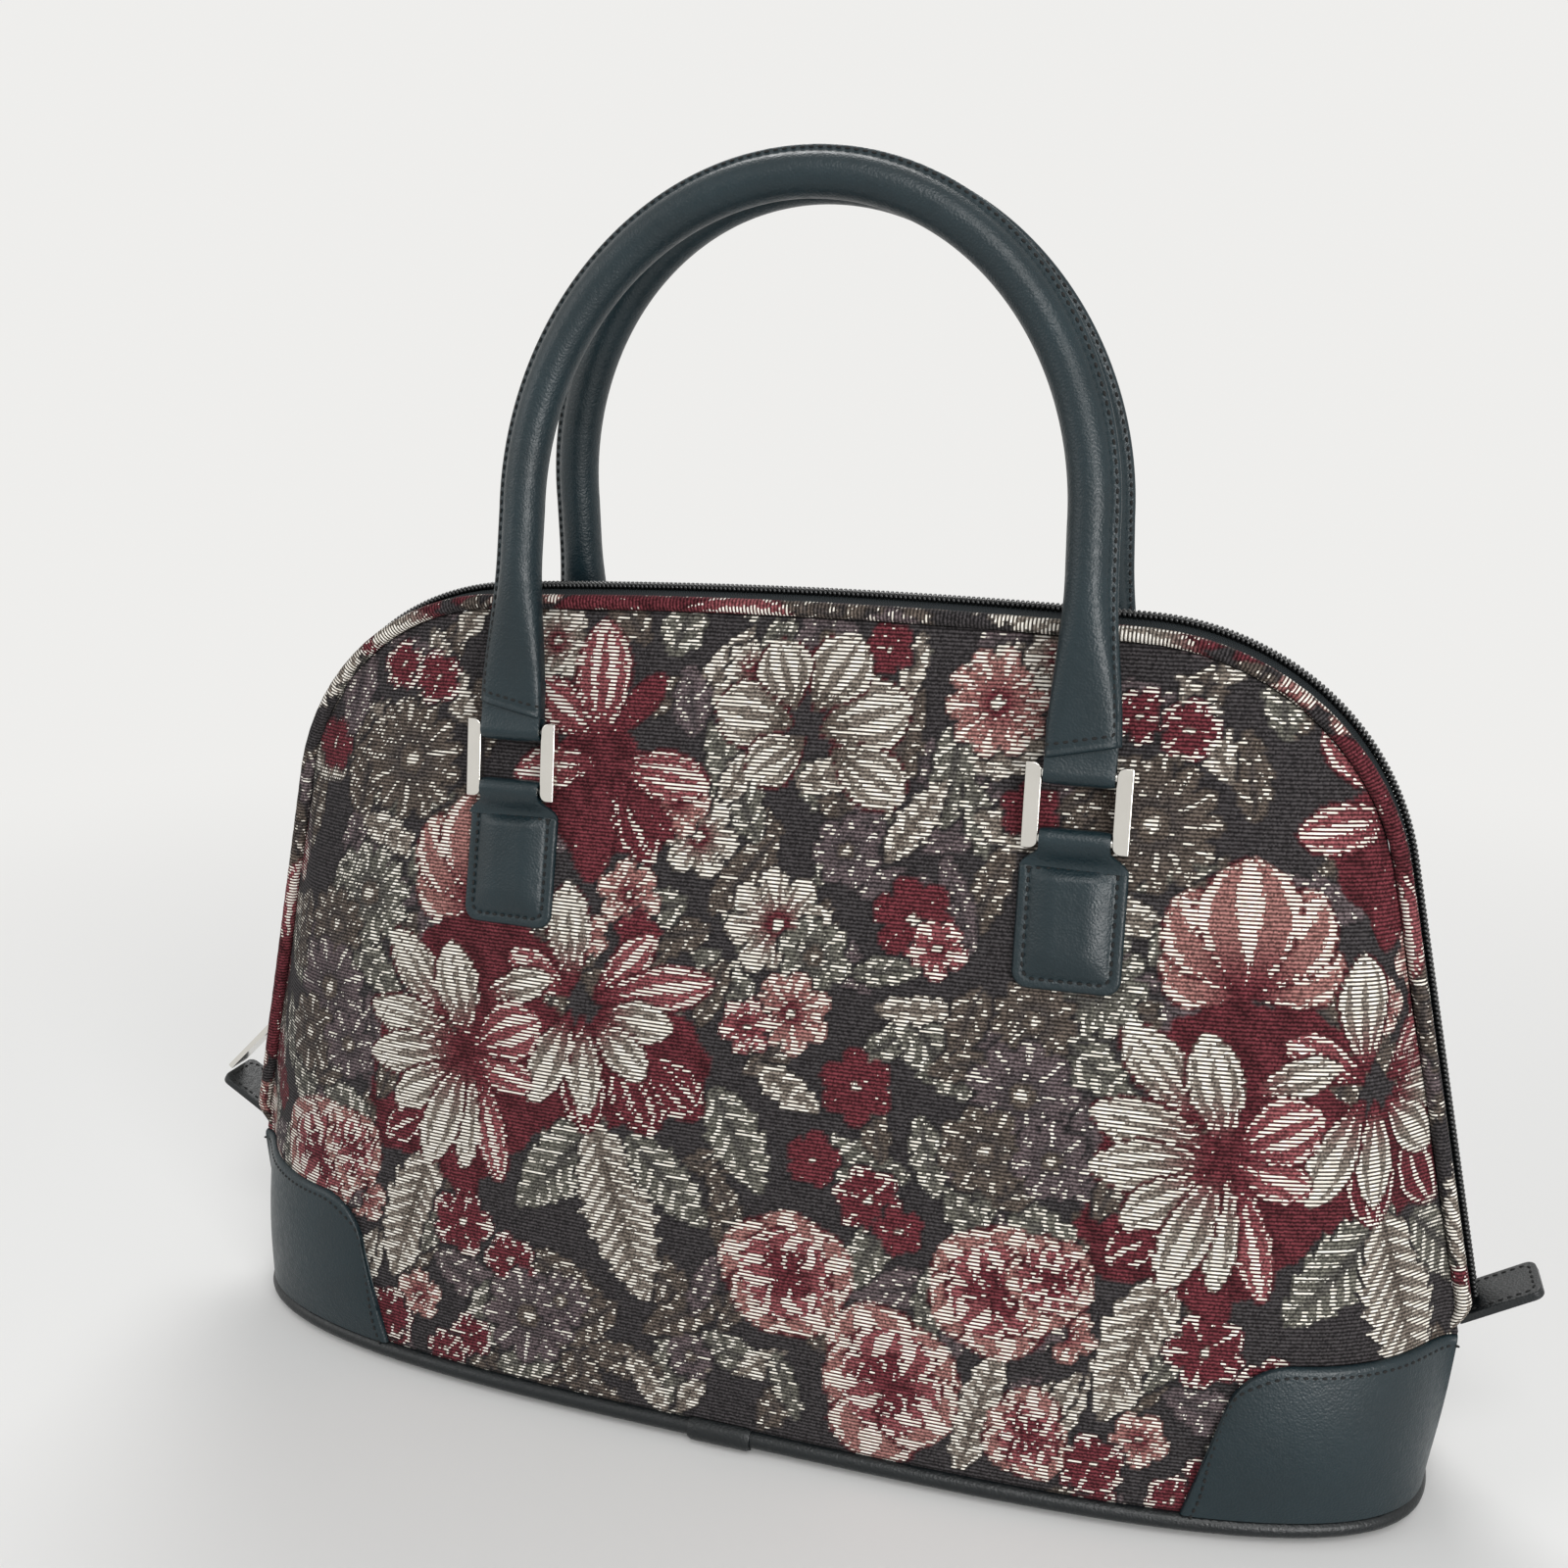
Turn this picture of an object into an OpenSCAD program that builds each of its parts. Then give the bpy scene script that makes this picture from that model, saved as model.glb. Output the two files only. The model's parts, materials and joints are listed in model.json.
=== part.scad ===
// Carpet bag: a domed tapestry bag with leather trim, a zip round the dome and two rolled handles.
// Millimetres, +Z up, front towards -Y. It stands on its feet, with the floor at z = 0.

/* [Body] */
// Length of the base, over its piping
base_length = 412; // [396:1:424]
// Depth of the base at its middle, over its piping
base_depth = 126; // [112:1:140]
// Squareness of the base plan: 2 is an ellipse, more is squarer
base_squareness = 3.2; // [2.6:0.1:4.5]
// Height of the zip at the middle of the top
body_height = 271; // [262:1:285]
// Length between the two feet of the zip
zip_foot_span = 433; // [426:1:444]
// Height of the feet of the zip
zip_foot_height = 60.5; // [54:0.5:68]
// Angle at which the ends lean inwards
flank_lean = 12.7; // [10:0.1:15]
// Radius of the shoulders
shoulder_r = 86; // [74:1:98]
// Radius of the slight curve along the top
crown_r = 2100; // [1500:50:4000]
// How far the panels swell out
panel_swell = 8; // [4:0.5:12]
// Thickness of a padded panel
panel_wall = 4; // [3:0.25:5]
// Gap between sewn pieces
seam = 0.15; // [0.1:0.05:0.25]

/* [Piping and zip] */
// Radius of the piping round each panel
piping_r = 2.4; // [1.8:0.1:2.8]
// Distance from the zip's middle to the middle of each piping
piping_offset = 13.2; // [12:0.1:15]
// Height of the zip's crest over the middle of the piping
zip_crest = 5; // [4:0.25:6]
// Width of the closed coil chain
coil_width = 6; // [5:0.1:6.6]
// Height of the coil chain
coil_height = 2; // [1.6:0.1:2.4]
// Thickness of the zip tapes
tape_wall = 0.9; // [0.6:0.1:1.2]
// Distance from each foot of the zip to the end of its chain
zip_end_gap = 5; // [4:0.5:8]
// Height of the slider on the left flank
slider_height = 95; // [90:1:110]
// Length of the slider
slider_length = 12; // [10:0.5:14]
// Length of the pull, from its bar to its tip
pull_length = 28; // [24:0.5:34]
// Width of the pull
pull_width = 10; // [9:0.5:13]
// Thickness of the pull
pull_wall = 1.8; // [1.4:0.1:2.2]
// Length of the leather tabs at the zip's ends
end_tab_length = 26; // [24:0.5:30]
// Width of those tabs
end_tab_width = 18; // [14:0.5:19]
// Thickness of those tabs
end_tab_wall = 2.6; // [2:0.1:3]
// Upward angle of those tabs
end_tab_rise = 32; // [25:1:38]

/* [Leather trim] */
// Thickness of the end caps
cap_wall = 1.6; // [1.2:0.1:2]
// Gap between an end cap and the padded panel under it
cap_gap = 0.4; // [0.3:0.05:0.6]
// Height of the end caps at their top edge
cap_height = 58; // [50:1:60]
// Height at which the caps' inner corners start to round
cap_corner_height = 40; // [32:1:46]
// Share of the front, from the middle to the end, where the cap starts at the base
cap_start_low = 0.364; // [0.3:0.002:0.45]
// The same share at the corner
cap_start_high = 0.415; // [0.32:0.005:0.5]
// Radius of the piping round the base
base_piping_r = 2.8; // [2.2:0.1:3.2]
// Thickness of the leather bottom
bottom_wall = 2.4; // [1.8:0.1:3]
// Thickness of the stiffening board
board_wall = 2.4; // [1.8:0.1:3]
// Length of the lap over the piping's join
lap_length = 21; // [16:1:28]
// Place of the lap along the front
lap_x = -9; // [-20:1:20]
// Thickness of the lap
lap_wall = 1.1; // [0.8:0.1:1.4]

/* [Feet] */
// Height of the feet below the base piping
foot_drop = 3; // [2.2:0.1:4]
// Radius of a foot
foot_r = 6; // [5:0.25:8]
// Radius of a foot's flat end
foot_flat_r = 3; // [2:0.25:4]
// Radius of a foot's shank
shank_r = 2; // [1.5:0.1:2.5]
// Distance of the feet from the ends of the base
foot_inset_x = 40; // [36:1:56]
// Distance of the feet from the edge of the base in front of or behind them
foot_inset_y = 11.75; // [11:0.25:20]

/* [Rings and tabs] */
// Distance between the left and right rings
ring_span = 180; // [160:1:200]
// Height of the lower bars of the rings
ring_height = 206; // [196:1:212]
// Distance between the two bars of a ring
bar_pitch = 19; // [17:0.5:22]
// Radius of the bars
bar_r = 1.5; // [1.2:0.1:1.6]
// Width of the flat cheeks
cheek_width = 4.8; // [4:0.1:6]
// Length of the cheeks
cheek_length = 25; // [24:0.5:28]
// Thickness of the cheeks
cheek_wall = 3.2; // [3.2:0.1:3.6]
// Width of the straps that loop round the bars
strap_width = 20.4; // [18:0.2:24]
// Thickness of the straps
strap_wall = 1.6; // [1.2:0.1:1.8]
// Running gap between a bar and its loop
loop_gap = 0.2; // [0.1:0.05:0.3]
// Gap between a strap and the cheeks beside it
cheek_gap = 0.4; // [0.3:0.05:0.8]
// Width of a tab's padded patch
patch_width = 31.5; // [28:0.5:36]
// Height of a tab's padded patch
patch_height = 36; // [30:0.5:42]
// Thickness of the patch at its padded middle
patch_wall = 4; // [3:0.1:5]
// Distance from the lower bar down to the patch
patch_drop = 8.5; // [7.5:0.5:10]

/* [Handles] */
// Diameter of a rolled handle
handle_d = 13; // [11:0.25:15]
// Height of the handles' tops above the upper bars
handle_height = 168; // [150:1:180]
// Height of the arched part of a handle
arch_height = 98; // [85:1:105]
// Half of the width of the arch, between its middles
arch_half_width = 88; // [80:1:94]
// Gap between the two handles where they lean together
handle_gap = 2.4; // [1.6:0.2:4]
// Length over which a handle flattens at its ends
flat_length = 50; // [40:1:58]
// Width of a handle's flat end
flat_width = 22.6; // [21:0.2:25]
// Thickness of a handle's flat end
flat_wall = 7; // [6:0.2:8]
// How far the sewn lip stands out of the roll
lip_height = 2; // [1.4:0.1:2.6]
// Thickness of the sewn lip
lip_wall = 2.4; // [1.8:0.1:3]
// Distance from the upper bar to the handle's end
handle_end_gap = 6.5; // [6:0.25:8]
// Slant of the handles' cut ends, which rise towards the outside
end_slant = 12; // [0:1:15]
// How far a strap reaches into the handle's end
strap_seat = 10; // [8:0.5:12]

/* [Hidden] */
$fn = 48;
// How far cutting shapes reach past what they cut
over = 1;

tapestry = "#6b565a";
piping_cloth = "#5c474b";
leather = "#2f3b41";
dark_leather = "#273136";
zip_black = "#16191b";
tape_black = "#1f2528";
silver = "#d5d3cd";
stud_black = "#2b2c2d";
board_grey = "#8a857b";

// Plan of the base at the middle of its piping
plan_length = base_length / 2 - base_piping_r;
plan_depth = base_depth / 2 - base_piping_r;
base_piping_z = foot_drop + base_piping_r;
panel_foot_z = base_piping_z + base_piping_r + seam;
// Share of the piping's radius by which the bottom lies above the piping's underside
bottom_rise_share = 0.2;
bottom_z = foot_drop + bottom_rise_share * base_piping_r;
foot_span_x = base_length - 2 * foot_inset_x;
edge_at_foot = plan_depth * pow(1 - pow(foot_span_x / 2 / plan_length, base_squareness), 1 / base_squareness);
foot_span_y = 2 * (edge_at_foot - foot_inset_y);
board_z = bottom_z + bottom_wall + seam;

// The dome: a crown arc, two shoulder arcs and two straight flanks
flank_up = [-sin(flank_lean), cos(flank_lean)];
foot_point = [zip_foot_span / 2, zip_foot_height];
shoulder_start = foot_point - shoulder_r * [cos(flank_lean), sin(flank_lean)];
crown_centre = [0, body_height - crown_r];
to_start = shoulder_start - crown_centre;
half_b = to_start * flank_up;
flank_length = -half_b + sqrt(half_b * half_b - to_start * to_start + pow(crown_r - shoulder_r, 2));
shoulder_centre = shoulder_start + flank_length * flank_up;
crown_angle = atan2(shoulder_centre.x - crown_centre.x, shoulder_centre.y - crown_centre.y);
flank_angle = 90 - flank_lean;
crown_length = crown_r * crown_angle * PI / 180;
shoulder_length = shoulder_r * (flank_angle - crown_angle) * PI / 180;
dome_length = crown_length + shoulder_length + flank_length;

// A point of the zip's line at distance s from the top, as x, z and the angle of its normal
function half_dome(s) =
    s <= crown_length ?
        let (a = s / crown_r * 180 / PI)
        [crown_r * sin(a), crown_centre.y + crown_r * cos(a), a] :
    s <= crown_length + shoulder_length ?
        let (a = crown_angle + (s - crown_length) / shoulder_r * 180 / PI)
        [shoulder_centre.x + shoulder_r * sin(a), shoulder_centre.y + shoulder_r * cos(a), a] :
    let (foot = foot_point + (dome_length - s) * flank_up)
    [foot.x, foot.y, flank_angle];
function dome(s) = let (h = half_dome(abs(s)), side = s < 0 ? -1 : 1) [side * h.x, h.y, side * h.z];

// Distances along one half of the dome: few on the flank and the crown, many on the shoulder
flank_steps = 4;
shoulder_steps = 9;
crown_steps = 3;
half_steps = concat(
    [for (i = [1:crown_steps]) i * crown_length / crown_steps],
    [for (i = [1:shoulder_steps]) crown_length + i * shoulder_length / shoulder_steps],
    [for (i = [1:flank_steps]) crown_length + shoulder_length + i * flank_length / flank_steps]
);
last_step = len(half_steps) - 1;
dome_steps = concat([for (i = [last_step:-1:0]) -half_steps[i]], [0], half_steps);

// Points [outwards, depth] of a section, placed across the dome at distance s
function across_dome(s, section) =
    let (d = dome(s))
    [for (p = section) [d.x + p.x * sin(d.z), p.y, d.y + p.x * cos(d.z)]];

// A solid through a row of closed sections
module skin(rings, closed = false) {
    count = len(rings);
    size = len(rings[0]);
    walls = [for (i = [0:count - (closed ? 1 : 2)], j = [0:size - 1])
        let (k = (i + 1) % count, m = (j + 1) % size)
        each [[i * size + j, i * size + m, k * size + m], [i * size + j, k * size + m, k * size + j]]];
    ends = closed ? [] : [[for (j = [size - 1:-1:0]) j], [for (j = [0:size - 1]) (count - 1) * size + j]];
    polyhedron([for (ring = rings) each ring], concat(walls, ends));
}

// A curved wall between an outer and an inner grid of points, both [column][row]
module wall(outer, inner) {
    cols = len(outer);
    rows = len(outer[0]);
    shift = cols * rows;
    function at(i, j) = i * rows + j;
    function quad(a, b, c, d) = [[a, b, c], [a, c, d]];
    faces = [
        for (i = [0:cols - 2], j = [0:rows - 2])
            let (a = at(i, j), b = at(i + 1, j), c = at(i + 1, j + 1), d = at(i, j + 1))
            each concat(quad(a, d, c, b), quad(a + shift, b + shift, c + shift, d + shift)),
        for (i = [0:cols - 2])
            let (a = at(i, 0), b = at(i + 1, 0), c = at(i, rows - 1), d = at(i + 1, rows - 1))
            each concat(quad(a, b, b + shift, a + shift), quad(c, c + shift, d + shift, d)),
        for (j = [0:rows - 2])
            let (a = at(0, j), b = at(0, j + 1), c = at(cols - 1, j), d = at(cols - 1, j + 1))
            each concat(quad(a, a + shift, b + shift, b), quad(c, d, d + shift, c + shift))
    ];
    polyhedron([for (column = concat(outer, inner)) each column], faces);
}

// The front panel's outer face: u runs along it from -1 to 1, w up it from 0 to 1
end_angle = asin(pow(piping_offset / plan_depth, base_squareness / 2));
function plan(angle) = [
    plan_length * pow(cos(angle), 2 / base_squareness),
    plan_depth * pow(sin(angle), 2 / base_squareness)
];
function panel_low(u) =
    let (p = plan(90 - abs(u) * (90 - end_angle)))
    [u < 0 ? -p.x : p.x, -p.y, panel_foot_z];
function panel_high(u) =
    across_dome(u * dome_length, [[-zip_crest - piping_r - seam, -piping_offset]])[0];
function panel_point(u, w) =
    let (low = panel_low(u), high = panel_high(u), swell = 4 * w * (1 - w) * (1 - u * u) * panel_swell)
    low + (high - low) * w - [0, swell, 0];
function unit(v) = v / norm(v);
tiny = 0.004;
function panel_normal(u, w) =
    unit(cross(
        panel_point(min(u + tiny, 1), w) - panel_point(max(u - tiny, -1), w),
        panel_point(u, min(w + tiny, 1)) - panel_point(u, max(w - tiny, 0))
    ));

// The panel's u and depth at a place x, z on the front, found by halving
function panel_u(x, z, low = 0, high = 1, turns = 24) =
    let (u = (low + high) / 2, w = (z - panel_foot_z) / (panel_high(u).z - panel_foot_z))
    turns == 0 ? u :
    panel_point(u, w).x < x ? panel_u(x, z, u, high, turns - 1) : panel_u(x, z, low, u, turns - 1);
function panel_y(x, z) =
    let (u = panel_u(x, z), w = (z - panel_foot_z) / (panel_high(u).z - panel_foot_z))
    panel_point(u, w).y;

panel_rows = 9;
module panel_shell() {
    outer = [for (s = dome_steps) [for (j = [0:panel_rows]) panel_point(s / dome_length, j / panel_rows)]];
    inner = [for (s = dome_steps) [for (j = [0:panel_rows])
        let (u = s / dome_length, w = j / panel_rows)
        panel_point(u, w) - panel_wall * panel_normal(u, w)]];
    wall(outer, inner);
}
module front_panel() {
    color(tapestry) panel_shell();
}
module back_panel() {
    color(tapestry) mirror([0, 1, 0]) panel_shell();
}

// Piping: a round cord along the panel's edge
module panel_piping() {
    sides = 8;
    section = [for (i = [0:sides - 1])
        [-zip_crest + piping_r * cos(i * 360 / sides), -piping_offset + piping_r * sin(i * 360 / sides)]];
    skin([for (s = dome_steps) across_dome(s, section)]);
}
module front_piping() {
    color(piping_cloth) panel_piping();
}
module back_piping() {
    color(piping_cloth) mirror([0, 1, 0]) panel_piping();
}

// Zip: each tape runs from the chain down to its piping, and the chain is two rows of coil
least_step = 1;
chain_steps = let (last = dome_length - zip_end_gap)
    concat([-last], [for (s = dome_steps) if (abs(s) < last - least_step) s], [last]);
// Share of the coil's height at which the tapes meet it
tape_depth_share = 0.55;
tape_top = -coil_height * tape_depth_share;
module zip_tape() {
    chain_edge = -coil_width / 2 - seam;
    piping_edge = -piping_offset + piping_r + seam;
    section = [
        [tape_top, chain_edge],
        [-zip_crest + tape_wall / 2, piping_edge],
        [-zip_crest - tape_wall / 2, piping_edge],
        [tape_top - tape_wall, chain_edge]
    ];
    skin([for (s = chain_steps) across_dome(s, section)]);
}
module front_zip_tape() {
    color(tape_black) zip_tape();
}
module back_zip_tape() {
    color(tape_black) mirror([0, 1, 0]) zip_tape();
}
module zip_chain() {
    half = coil_width / 2;
    foot_y = half * 0.9;
    crest_y = half * 0.57;
    row = [[-coil_height, foot_y], [-coil_height / 2, half], [0, crest_y], [-coil_height / 4, 0]];
    section = concat(row, [for (i = [2:-1:0]) [row[i].x, -row[i].y]]);
    color(zip_black) skin([for (s = chain_steps) across_dome(s, section)]);
}

// Leather tabs at the zip's ends: flat tongues that point outwards and up
cap_end = panel_point(1, 1);
end_tab_root = [cap_end.x + cap_gap, cap_height + seam + end_tab_wall / 2 / cos(end_tab_rise)];
module zip_tab() {
    corner = end_tab_width / 6;
    translate([end_tab_root.x, 0, end_tab_root.y])
        rotate([0, -end_tab_rise, 0])
        translate([0, 0, -end_tab_wall / 2])
        linear_extrude(end_tab_wall) {
            translate([0, -end_tab_width / 2]) square([end_tab_length - corner, end_tab_width]);
            translate([0, corner - end_tab_width / 2]) square([end_tab_length, end_tab_width - 2 * corner]);
            for (side = [-1, 1])
                translate([end_tab_length - corner, side * (end_tab_width / 2 - corner)]) circle(corner);
        }
}
module right_zip_tab() {
    color(dark_leather) zip_tab();
}
module left_zip_tab() {
    color(dark_leather) mirror([1, 0, 0]) zip_tab();
}

// End caps: leather over the panels' lower corners, from the front round the end to the back
cap_columns = 10;
cap_rows = 4;
// Share of the cap's front that its rounded corner takes up
cap_corner_share = 0.165;
// Crowds the columns towards the rounded corner
cap_column_bias = 2;
function mix(a, b, t) = a + (b - a) * t;
function cap_top(f) =
    let (t = 1 - min(f / cap_corner_share, 1))
    mix(cap_corner_height, cap_height, sqrt(1 - t * t));
function cap_front(f, v, out) =
    let (
        u = mix(mix(cap_start_low, 1, f), mix(cap_start_high, 1, f), v),
        top_u = mix(cap_start_high, 1, f),
        w = v * (cap_top(f) - panel_foot_z) / (panel_high(top_u).z - panel_foot_z)
    )
    panel_point(u, w) + out * panel_normal(u, w);
function flip_y(p) = [p.x, -p.y, p.z];
function cap_column(f, out) = [for (j = [0:cap_rows]) cap_front(f, j / cap_rows, out)];
module end_cap() {
    shares = [for (i = [0:cap_columns]) pow(i / cap_columns, cap_column_bias)];
    function around(out) = concat(
        [for (f = shares) cap_column(f, out)],
        [for (t = [1 / 3, 2 / 3]) [for (p = cap_column(1, out)) mix(p, flip_y(p), t)]],
        [for (i = [cap_columns:-1:0]) [for (p = cap_column(shares[i], out)) flip_y(p)]]
    );
    wall(around(cap_gap + cap_wall), around(cap_gap));
}
module right_end_cap() {
    color(leather) end_cap();
}
module left_end_cap() {
    color(leather) mirror([1, 0, 0]) end_cap();
}

// Base: leather bottom and board inside a ring of piping
plan_points = 64;
function plan_ring(inset) = [for (i = [0:plan_points - 1])
    let (
        a = 360 * (i + 0.5) / plan_points,
        p = plan(a < 90 ? a : a < 180 ? 180 - a : a < 270 ? a - 180 : 360 - a),
        x = (a < 90 || a > 270 ? 1 : -1) * p.x,
        y = (a < 180 ? 1 : -1) * p.y
    )
    [x * (1 - inset / plan_length), y * (1 - inset / plan_depth)]];
module foot_places() {
    for (x = [-1, 1], y = [-1, 1])
        translate([x * foot_span_x / 2, y * foot_span_y / 2, 0]) children();
}
module base_plate(z, thickness, inset) {
    difference() {
        translate([0, 0, z]) linear_extrude(thickness) polygon(plan_ring(inset));
        foot_places() translate([0, 0, z - over]) cylinder(r = shank_r + seam, h = thickness + 2 * over);
    }
}
module base_panel() {
    color(leather) base_plate(bottom_z, bottom_wall, base_piping_r + seam);
}
module base_board() {
    color(board_grey) base_plate(board_z, board_wall, base_piping_r + panel_wall);
}
module base_piping() {
    sides = 8;
    ring = plan_ring(0);
    count = len(ring);
    color(dark_leather) skin([for (i = [0:count - 1])
        let (
            along = unit(ring[(i + 1) % count] - ring[(i + count - 1) % count]),
            out = [along.y, -along.x]
        )
        [for (j = [0:sides - 1])
            let (a = -j * 360 / sides, r = base_piping_r * cos(a))
            [ring[i].x + r * out.x, ring[i].y + r * out.y, base_piping_z + base_piping_r * sin(a)]]
    ], true);
}
module base_piping_lap() {
    inner_r = base_piping_r + seam;
    outer_r = inner_r + lap_wall;
    wrap_share = 0.4;
    back_cut = base_piping_r * wrap_share;
    color(dark_leather)
        translate([lap_x - lap_length / 2, -plan_depth, base_piping_z])
        rotate([90, 0, 90])
        linear_extrude(lap_length)
        difference() {
            circle(outer_r);
            circle(inner_r);
            translate([-back_cut, -outer_r - over]) square(2 * (outer_r + over));
        }
}

// Feet: domed studs, with shanks through the base into washers
washer_z = board_z + board_wall + seam;
washer_wall = 1.2;
foot_dome_steps = 4;
// Share of the foot's height taken by its dome
foot_dome_share = 0.75;
module foot(x, y) {
    dome_height = foot_dome_share * bottom_z;
    domed = [for (i = [0:foot_dome_steps])
        let (a = 90 * i / foot_dome_steps)
        [mix(foot_flat_r, foot_r, sin(a)), dome_height * (1 - cos(a))]];
    color(stud_black)
        translate([x * foot_span_x / 2, y * foot_span_y / 2, 0]) {
            rotate_extrude()
                polygon(concat([[0, 0]], domed, [[foot_r, bottom_z - seam], [0, bottom_z - seam]]));
            cylinder(r = shank_r, h = washer_z + washer_wall);
        }
}
module foot_washers() {
    color(stud_black)
        foot_places() translate([0, 0, washer_z]) difference() {
            cylinder(r = foot_r, h = washer_wall);
            translate([0, 0, -over]) cylinder(r = shank_r + seam, h = washer_wall + 2 * over);
        }
}

// Places of the rings: the lower bars stand off the panel, clear of their loops and cheeks
loop_r = bar_r + loop_gap + strap_wall;
strap_stack = 2 * strap_wall;
ring_x = ring_span / 2;
slope_step = 4;
tab_lean = atan((panel_y(ring_x, ring_height + slope_step) - panel_y(ring_x, ring_height - slope_step))
    / 2 / slope_step);
tab_gap = 0.35;
// The cheeks' inner corners swing past the panel, which stands out most beside the inner cheek
cheek_x = strap_width / 2 + cheek_gap + cheek_width / 2;
cheek_reach = norm([(cheek_length - bar_pitch) / 2, cheek_wall / 2]);
inner_cheek_x = ring_x - cheek_x - cheek_width / 2;
bar_stand = max(loop_r, cheek_reach) + tab_gap;
bar_y = panel_y(inner_cheek_x, ring_height) - bar_stand / cos(tab_lean);
handle_reach = bar_pitch + handle_height;
handle_lean = asin((-(handle_d + handle_gap) / 2 - bar_y) / handle_reach);

// A strap's loop round a bar, in section: closed round the bar, with both ends together on one side
loop_neck = 1;
module loop_section(tail_length, tail_wall) {
    difference() {
        union() {
            circle(loop_r);
            polygon([
                [-loop_r, 0], [loop_r, 0],
                [tail_wall / 2, loop_r + loop_neck], [tail_wall / 2, tail_length],
                [-tail_wall / 2, tail_length], [-tail_wall / 2, loop_r + loop_neck]
            ]);
        }
        circle(bar_r + loop_gap);
    }
}
module loop(width, tail_length, tail_wall) {
    translate([-width / 2, 0, 0]) rotate([90, 0, 90]) linear_extrude(width)
        loop_section(tail_length, tail_wall);
}

// Ring tabs: a padded patch on the panel, with a loop up round the ring's lower bar
patch_top_z = ring_height - patch_drop;
patch_mid_z = patch_top_z - patch_height / 2;
patch_yaw = atan((panel_y(ring_x + slope_step, patch_mid_z) - panel_y(ring_x - slope_step, patch_mid_z))
    / 2 / slope_step);
patch_lean = atan((panel_y(ring_x, patch_mid_z + slope_step) - panel_y(ring_x, patch_mid_z - slope_step))
    / 2 / slope_step);
patch_corner = 5;
// Shares of the patch's thickness: its sewn rim, and the width of its padded slope
patch_rim_share = 0.4;
patch_slope_share = 0.8;
module patch_outline(inset) {
    w = patch_width - 2 * inset;
    h = patch_height - 2 * inset;
    r = patch_corner - inset / 2;
    translate([-w / 2, r - h / 2]) square([w, h - r]);
    translate([r - w / 2, -h / 2]) square([w - 2 * r, h]);
    for (side = [-1, 1])
        translate([side * (w / 2 - r), r - h / 2]) circle(r, $fn = 24);
}
neck_seat = 3.5;
module neck_outline() {
    flare = (patch_width - strap_width) / 2;
    difference() {
        translate([-patch_width / 2, patch_drop - flare]) square([patch_width, flare + neck_seat]);
        for (side = [-1, 1])
            translate([side * patch_width / 2, patch_drop - flare]) circle(flare);
    }
}
module ring_tab() {
    rim_wall = patch_wall * patch_rim_share;
    slope = patch_wall * patch_slope_share;
    translate([ring_x, panel_y(ring_x, patch_mid_z) - tab_gap, patch_mid_z])
        rotate([-patch_lean, 0, patch_yaw])
        rotate([90, 0, 0])
        hull() {
            linear_extrude(rim_wall) patch_outline(0);
            linear_extrude(patch_wall) patch_outline(slope);
        }
    translate([ring_x, bar_y, ring_height]) rotate([180 - tab_lean, 0, 0]) {
        loop(strap_width, patch_drop + neck_seat, strap_stack);
        translate([0, strap_stack / 2, 0]) rotate([90, 0, 0])
            linear_extrude(strap_stack) neck_outline();
    }
}
module tab_at(x, y) {
    color(leather) mirror([x < 0 ? 1 : 0, 0, 0]) mirror([0, y > 0 ? 1 : 0, 0]) ring_tab();
}

// Everything on the rings and handles is drawn upright from the lower bar, then leaned inwards
module leaned(y) {
    mirror([0, y > 0 ? 1 : 0, 0])
        translate([0, bar_y, ring_height]) rotate([-handle_lean, 0, 0]) children();
}

// Rings: two flat cheeks joined by an upper and a lower bar
// Share of a cheek's width that its inner corners round off
cheek_round_share = 0.55;
module cheek_outline() {
    inner_r = cheek_width * cheek_round_share;
    difference() {
        translate([-cheek_width / 2, bar_pitch / 2 - cheek_length / 2]) square([cheek_width, cheek_length]);
        for (end = [-1, 1])
            translate([-cheek_width / 2, bar_pitch / 2 + end * cheek_length / 2])
                rotate(end > 0 ? -90 : 0)
                difference() {
                    translate([-over, -over]) square(inner_r + over);
                    translate([inner_r, inner_r]) circle(inner_r);
                }
    }
}
module ring(x, y) {
    color(silver) leaned(y) translate([x * ring_x, 0, 0]) {
        for (side = [-1, 1])
            mirror([side < 0 ? 1 : 0, 0, 0])
                translate([cheek_x, cheek_wall / 2, 0]) rotate([90, 0, 0])
                linear_extrude(cheek_wall) cheek_outline();
        for (z = [0, bar_pitch])
            translate([-cheek_x, 0, z]) rotate([0, 90, 0]) cylinder(r = bar_r, h = 2 * cheek_x);
    }
}

// Straps: each loops round the upper bar, with both ends in the handle
module strap(x, y) {
    color(leather) leaned(y) translate([x * ring_x, 0, bar_pitch])
        loop(strap_width, handle_end_gap + strap_seat - seam, strap_stack);
}

// Handles: a roll that flattens at both ends, with a sewn lip on the outside of the arch
leg_end_z = bar_pitch + handle_end_gap;
spring_z = handle_reach - arch_height;
leg_length = spring_z - leg_end_z;
leg_steps = 7;
arch_steps = 20;
section_steps = 10;
// How square the flat ends are: 1 is an ellipse, less is squarer
flat_power = 0.45;
// Share of the lip's height left at the flat ends
flat_lip_share = 0.5;
function smooth(t) = let (c = min(max(t, 0), 1)) c * c * (3 - 2 * c);
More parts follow.
